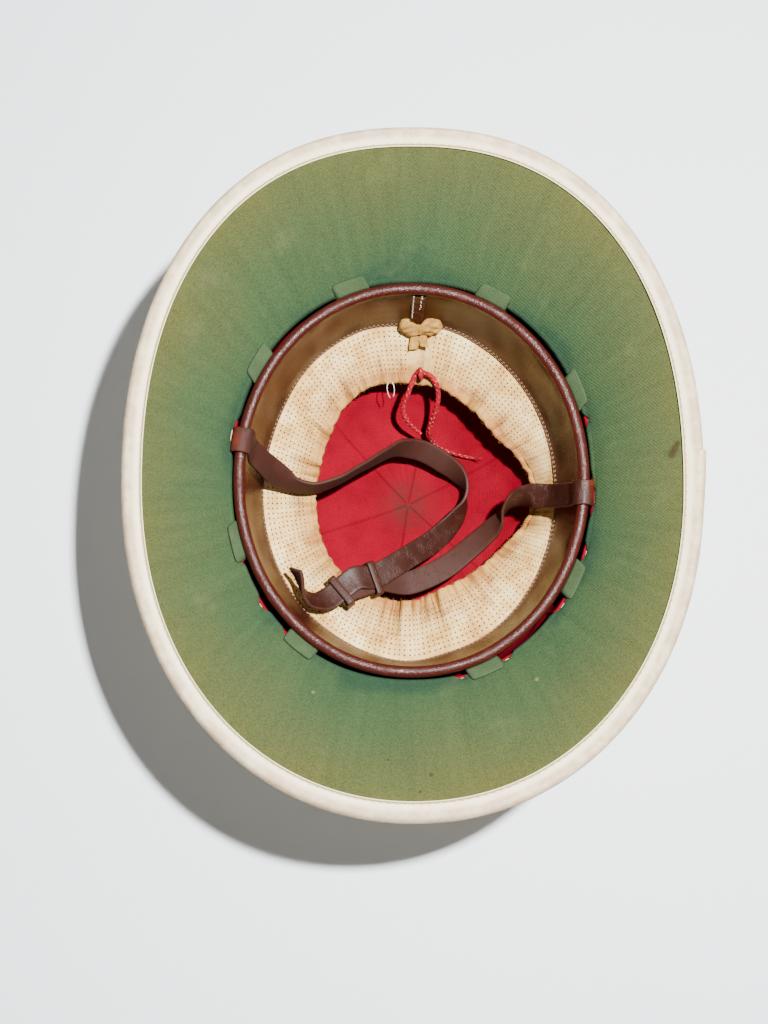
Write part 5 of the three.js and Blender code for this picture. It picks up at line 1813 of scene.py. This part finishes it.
@dataclass
class Spacers:
    """Felt blocks wedged between the band and the crown, showing in the gap at the opening."""

    bearings: tuple[float, ...] = (24.5, 64.0, 108.5, 146.5, 197.5, 234.0, 292.0, 331.0)
    length: float = 19.0
    depth: float = 15.0
    proud: float = 2.3
    overlap: float = 0.06
    tuck: float = -18.0
    bead_gap: float = 0.35
    wall_gap: float = 0.5

    def section(self, angle: Array) -> Array:
        """A block's corners between band and lining at each angle, rounded by points beside them."""
        outward, rising = FORM.band_frame(angle, 0.0)
        bead = FORM.band(angle, 0.0)
        tuck = math.radians(self.tuck)
        gap = FORM.bead_radius + self.bead_gap
        wall = FORM.band_wall / 2.0 + self.wall_gap
        deep = self.depth / FORM.band_height
        lower = FORM.band_offset(angle, deep, wall)
        lining = -FORM.clearance - FORM.cloth - 1.2
        above = FORM.clearance + FORM.cloth + self.wall_gap
        corners = [
            bead + outward * gap * math.cos(tuck) + rising * gap * math.sin(tuck),
            FORM.band_offset(angle, deep / 2.0, wall),
            lower,
            FORM.dome_at(angle, lower[:, 2], lining),
            FORM.dome_at(angle, FORM.opening_level - 1.2, lining),
            FORM.green_offset(angle, 0.03, above),
            FORM.green_offset(angle, self.overlap, above),
            FORM.green_offset(angle, self.overlap, above + self.proud * 0.6),
            bead + outward * (FORM.bead_radius + self.wall_gap) + UP * self.proud * 0.5,
        ]
        filled = []
        for corner, ahead in zip(corners, corners[1:] + corners[:1]):
            filled.extend([lean(corner, ahead, t) for t in (0.08, 0.5, 0.92)])
        return np.stack(filled, axis=1)

    def build(self) -> None:
        """Each block: its section carried along the head, shrunk a little at both ends."""
        share = np.linspace(-1.0, 1.0, 21)
        reach = self.length / 2.0 / FORM.head_half_length * share
        round_end = np.clip(1.0 - np.abs(share) ** 14, 0.0, 1.0) ** 0.5
        for number, bearing in enumerate(self.bearings, 1):
            section = self.section(math.radians(bearing) + reach)
            middle = section.mean(axis=1, keepdims=True)
            section = middle + (section - middle) * (0.72 + 0.28 * round_end)[:, None, None]
            shape = Shape().grid(section, ring=True, capped=True)
            settle(shape.build(f"felt_block_{number}", dress("felt")), Slot.GREEN_FELT, f"spacer_{number}")


# Chin strap


@dataclass
class ChinStrap:
    """Two leather strips looped over the bead, and the two keepers that hold them together.

    A row gives across and along as shares of the head's half sizes, the level as a share of the
    height from lining to bead, the roll in degrees and, down the band's wall, a heading.
    """

    width: float = 13.0
    wall: float = 1.9
    loop_gap: float = 0.5
    loop_turns: tuple[float, ...] = (-14.0, 20.0, 55.0, 90.0, 125.0, 160.0)
    left_bearing: float = 169.5
    right_bearing: float = -4.6
    keeper_rows: tuple[int, int] = (21, 23)
    keeper_width: float = 4.2
    keeper_wall: float = 1.2
    keeper_clearance: float = 0.8
    keeper_section: Table = (
        (0.0, -0.9), (0.0, 0.9), (0.25, 1.0), (0.85, 1.0), (1.0, 0.85), (1.06, 0.0), (1.0, -0.85),
        (0.85, -1.0), (0.25, -1.0),
    )
    slip: float = 2.0
    right_end: float = 3.2
    steps: int = 8
    left_rows: Table = (
        (-0.93, 0.15, 0.93, 0, -11), (-0.888, 0.115, 0.85, -2, -11), (-0.84, 0.085, 0.76, -6, -12),
        (-0.787, 0.055, 0.665, -32, -14), (-0.73, 0.026, 0.6, -56), (-0.6, 0.011, 0.565, -76),
        (-0.461, 0.051, 0.52, -84), (-0.309, 0.14, 0.434, -86), (-0.172, 0.226, 0.345, -80),
        (-0.071, 0.284, 0.272, -66), (0.019, 0.291, 0.218, -46), (0.096, 0.279, 0.187, -32),
        (0.219, 0.221, 0.16, -32), (0.303, 0.164, 0.15, -50), (0.354, 0.095, 0.146, -74),
        (0.36, -0.003, 0.146, -98), (0.313, -0.085, 0.155, -128), (0.228, -0.177, 0.193, -150),
        (0.13, -0.257, 0.262, -160), (0.021, -0.325, 0.35, -168), (-0.095, -0.398, 0.44, -175),
        (-0.225, -0.468, 0.51, -180), (-0.325, -0.478, 0.56, -184), (-0.425, -0.545, 0.575, -190),
        (-0.485, -0.588, 0.59, -196), (-0.55, -0.61, 0.61, -222), (-0.612, -0.598, 0.645, -245),
        (-0.652, -0.545, 0.685, -270), (-0.668, -0.49, 0.72, -288), (-0.685, -0.452, 0.745, -298),
    )
    right_rows: Table = (
        (0.937, -0.078, 0.93, -180, 175), (0.9, -0.066, 0.815, -180, 175), (0.83, -0.048, 0.66, -178),
        (0.735, -0.036, 0.588, -165), (0.665, -0.046, 0.516, -135), (0.605, -0.085, 0.465, -100),
        (0.562, -0.137, 0.424, -62), (0.505, -0.192, 0.393, -35), (0.375, -0.294, 0.362, -18),
        (0.244, -0.386, 0.355, -10), (0.113, -0.45, 0.365, -4), (-0.018, -0.49, 0.372, 0),
    )

    def loop(self, bearing: float) -> tuple[Array, Array]:
        """The rows over the bead: points on a circle round it, and the heading inwards."""
        angle = np.array([math.radians(bearing)])
        outward = unit(FORM.band_frame(angle, 0.0)[0][0] * LEVEL)
        centre = FORM.band(angle, 0.0)[0]
        turn = np.radians(self.loop_turns)
        radius = FORM.bead_radius + self.loop_gap + self.wall / 2.0
        return centre + radius * (np.outer(np.cos(turn), outward) + np.outer(np.sin(turn), UP)), -outward

    def rows(self, bearing: float, roll: float, table: Table) -> tuple[Array, Array, Array]:
        """Points, headings and rolls of a strip's rows, its loop over the bead first."""
        spots, inward = self.loop(bearing)
        size = np.array([FORM.head_half_width, FORM.head_half_length, FORM.bead_level - FORM.lining_level])
        laid = np.array([row[:3] for row in table]) * size + UP * FORM.lining_level
        points = np.vstack([spots, laid])
        rolls = np.concatenate([np.full(len(spots), roll), [row[3] for row in table]])
        headings = unit(chords(points) * np.array([1.0, 1.0, 1e-9]))
        headings[: len(spots)] = inward
        for k, row in enumerate(table):
            if len(row) > 4:
                turn = math.radians(row[4])
                headings[len(spots) + k] = (math.cos(turn), math.sin(turn), 0.0)
        return points, headings, rolls

    def frames(self, points: Array, headings: Array, rolls: Array) -> dict[str, Array]:
        """Places, directions, the way across and the grain side along a strip.

        The way across is the level side direction turned about the strip by the roll.
        """
        places, ahead = smooth_path(points, self.steps)
        spot = np.arange(len(places)) / self.steps
        index = np.arange(len(points))
        heading = unit(np.stack([np.interp(spot, index, headings[:, k]) for k in range(3)], axis=-1))
        roll = np.radians(np.interp(spot, index, rolls))
        side = np.stack([heading[:, 1], -heading[:, 0], np.zeros(len(spot))], axis=-1)
        lift = unit(np.cross(side, ahead))
        across = side * np.cos(roll)[:, None] + lift * np.sin(roll)[:, None]
        across = unit(across - ahead * np.sum(across * ahead, axis=-1, keepdims=True))
        return {"place": places, "ahead": ahead, "across": across, "grain": np.cross(ahead, across)}

    def strip(self, name: str, frames: dict[str, Array], taper: tuple[float, float]) -> bpy.types.Object:
        """One strip: a flat section with rounded edges, slightly cupped, carried along the frames.

        Args:
            name: the piece's name.
            frames: places and directions along it.
            taper: how many places at each end the corners are cut back over.

        Returns:
            The strip's piece.
        """
        flat = np.array([-1.0, -0.985, -0.93, -0.75, -0.5, -0.25, 0.0, 0.25, 0.5, 0.75, 0.93, 0.985, 1.0])
        deep = np.array([0.45, 0.8, *[1.0] * 9, 0.8, 0.45])
        wide = np.concatenate([flat, flat[::-1]])
        thick = np.concatenate([deep, -deep[::-1]])
        face = np.concatenate([np.where(deep > 0.9, 1.0, 0.5), np.where(deep > 0.9, 0.0, 0.5)])
        count = len(frames["place"])
        far = np.minimum(np.arange(count) / taper[0], (count - 1 - np.arange(count)) / taper[1])
        narrow = 1.0 - 0.16 * (1.0 - np.clip(far, 0.0, 1.0)) ** 2
        wander = 1.0 + 0.02 * np.sin(np.arange(count) * 0.21)
        bend = 0.22 * (1.0 - wide**2)[None] + 0.07 * np.sin(np.arange(count) * 0.7)[:, None] * wide[None]
        half = (self.width / 2.0 * narrow * wander)[:, None] * wide[None]
        push = self.wall / 2.0 * thick[None] - bend
        rows = frames["place"][:, None] + frames["across"][:, None] * half[..., None]
        rows = rows + frames["grain"][:, None] * push[..., None]
        shape = Shape().grid(rows, ring=True, capped=True, tone=face)
        return shape.build(name, dress("strap"))

    def keeper(self, name: str, node: str, frame: dict[str, Array]) -> None:
        """A loop round both strips: a rounded rectangle, carried in and out across its own width."""
        middle = frame["place"] - frame["grain"] * (self.wall + FORM.clearance) / 2.0
        middle = middle + frame["across"] * self.slip / 2.0
        half_width = (self.width + self.slip) / 2.0 + self.keeper_clearance
        half_height = self.wall + FORM.clearance / 2.0 + self.keeper_clearance
        wide, high = soft_square(turns(56), 0.22, 0.3)
        rows = []
        for grow, along in self.keeper_section:
            x = wide * (half_width + grow * self.keeper_wall)
            y = high * (half_height + grow * self.keeper_wall)
            row = middle + np.outer(x, frame["across"]) + np.outer(y, frame["grain"])
            rows.append(row + frame["ahead"] * along * self.keeper_width / 2.0)
        shape = Shape().grid(np.stack(rows), ring=True, loop=True, tone=1.0)
        settle(shape.build(name, dress("keeper")), Slot.STRAP_LEATHER, node)

    def build(self) -> None:
        """Builds both strips and both keepers."""
        left = self.frames(*self.rows(self.left_bearing, 0.0, self.left_rows))
        settle(self.strip("left_strip", left, (6.0, 20.0)), Slot.STRAP_LEATHER, "chin_strap_left")
        points, headings, rolls = self.rows(self.right_bearing, -180.0, self.right_rows)
        seam = len(points) - 1
        held, faced, rolled = [], [], []
        for number, row in enumerate(self.keeper_rows, 1):
            frame = {key: values[(len(self.loop_turns) + row) * self.steps] for key, values in left.items()}
            self.keeper(f"keeper_{number}", f"strap_keeper_{number}", frame)
            base = frame["place"] - frame["grain"] * (self.wall + FORM.clearance)
            base = base + frame["across"] * self.slip
            for reach in (-self.right_end, self.right_end):
                held.append(base + frame["ahead"] * reach)
                faced.append(unit(frame["ahead"] * LEVEL))
                rolled.append(self.left_rows[row][3] + 180.0)
        points = np.vstack([points, held])
        headings[seam] = unit(chords(points)[seam] * LEVEL)
        right = self.frames(points, np.vstack([headings, faced]), np.concatenate([rolls, rolled]))
        settle(self.strip("right_strip", right, (6.0, 12.0)), Slot.STRAP_LEATHER, "chin_strap_right")


def main() -> None:
    """Builds the scene in order: camera and cords first, then the helmet's sub-assemblies."""
    logging.basicConfig(level=logging.INFO, format="%(message)s")
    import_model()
    studio = Studio()
    studio.set_camera()
    liner = MeshLiner()
    liner.cord("braided_cord", "drawstring", liner.drawstring)
    liner.cord("braided_cord_end", "drawstring_end", liner.drawstring_end)
    studio.light()
    studio.lay_floor()
    Crown().build()
    Brim().build()
    SweatBand().build()
    liner.build()
    Spacers().build()
    ChinStrap().build()
    bpy.context.view_layer.update()


if __name__ == "__main__":
    main()
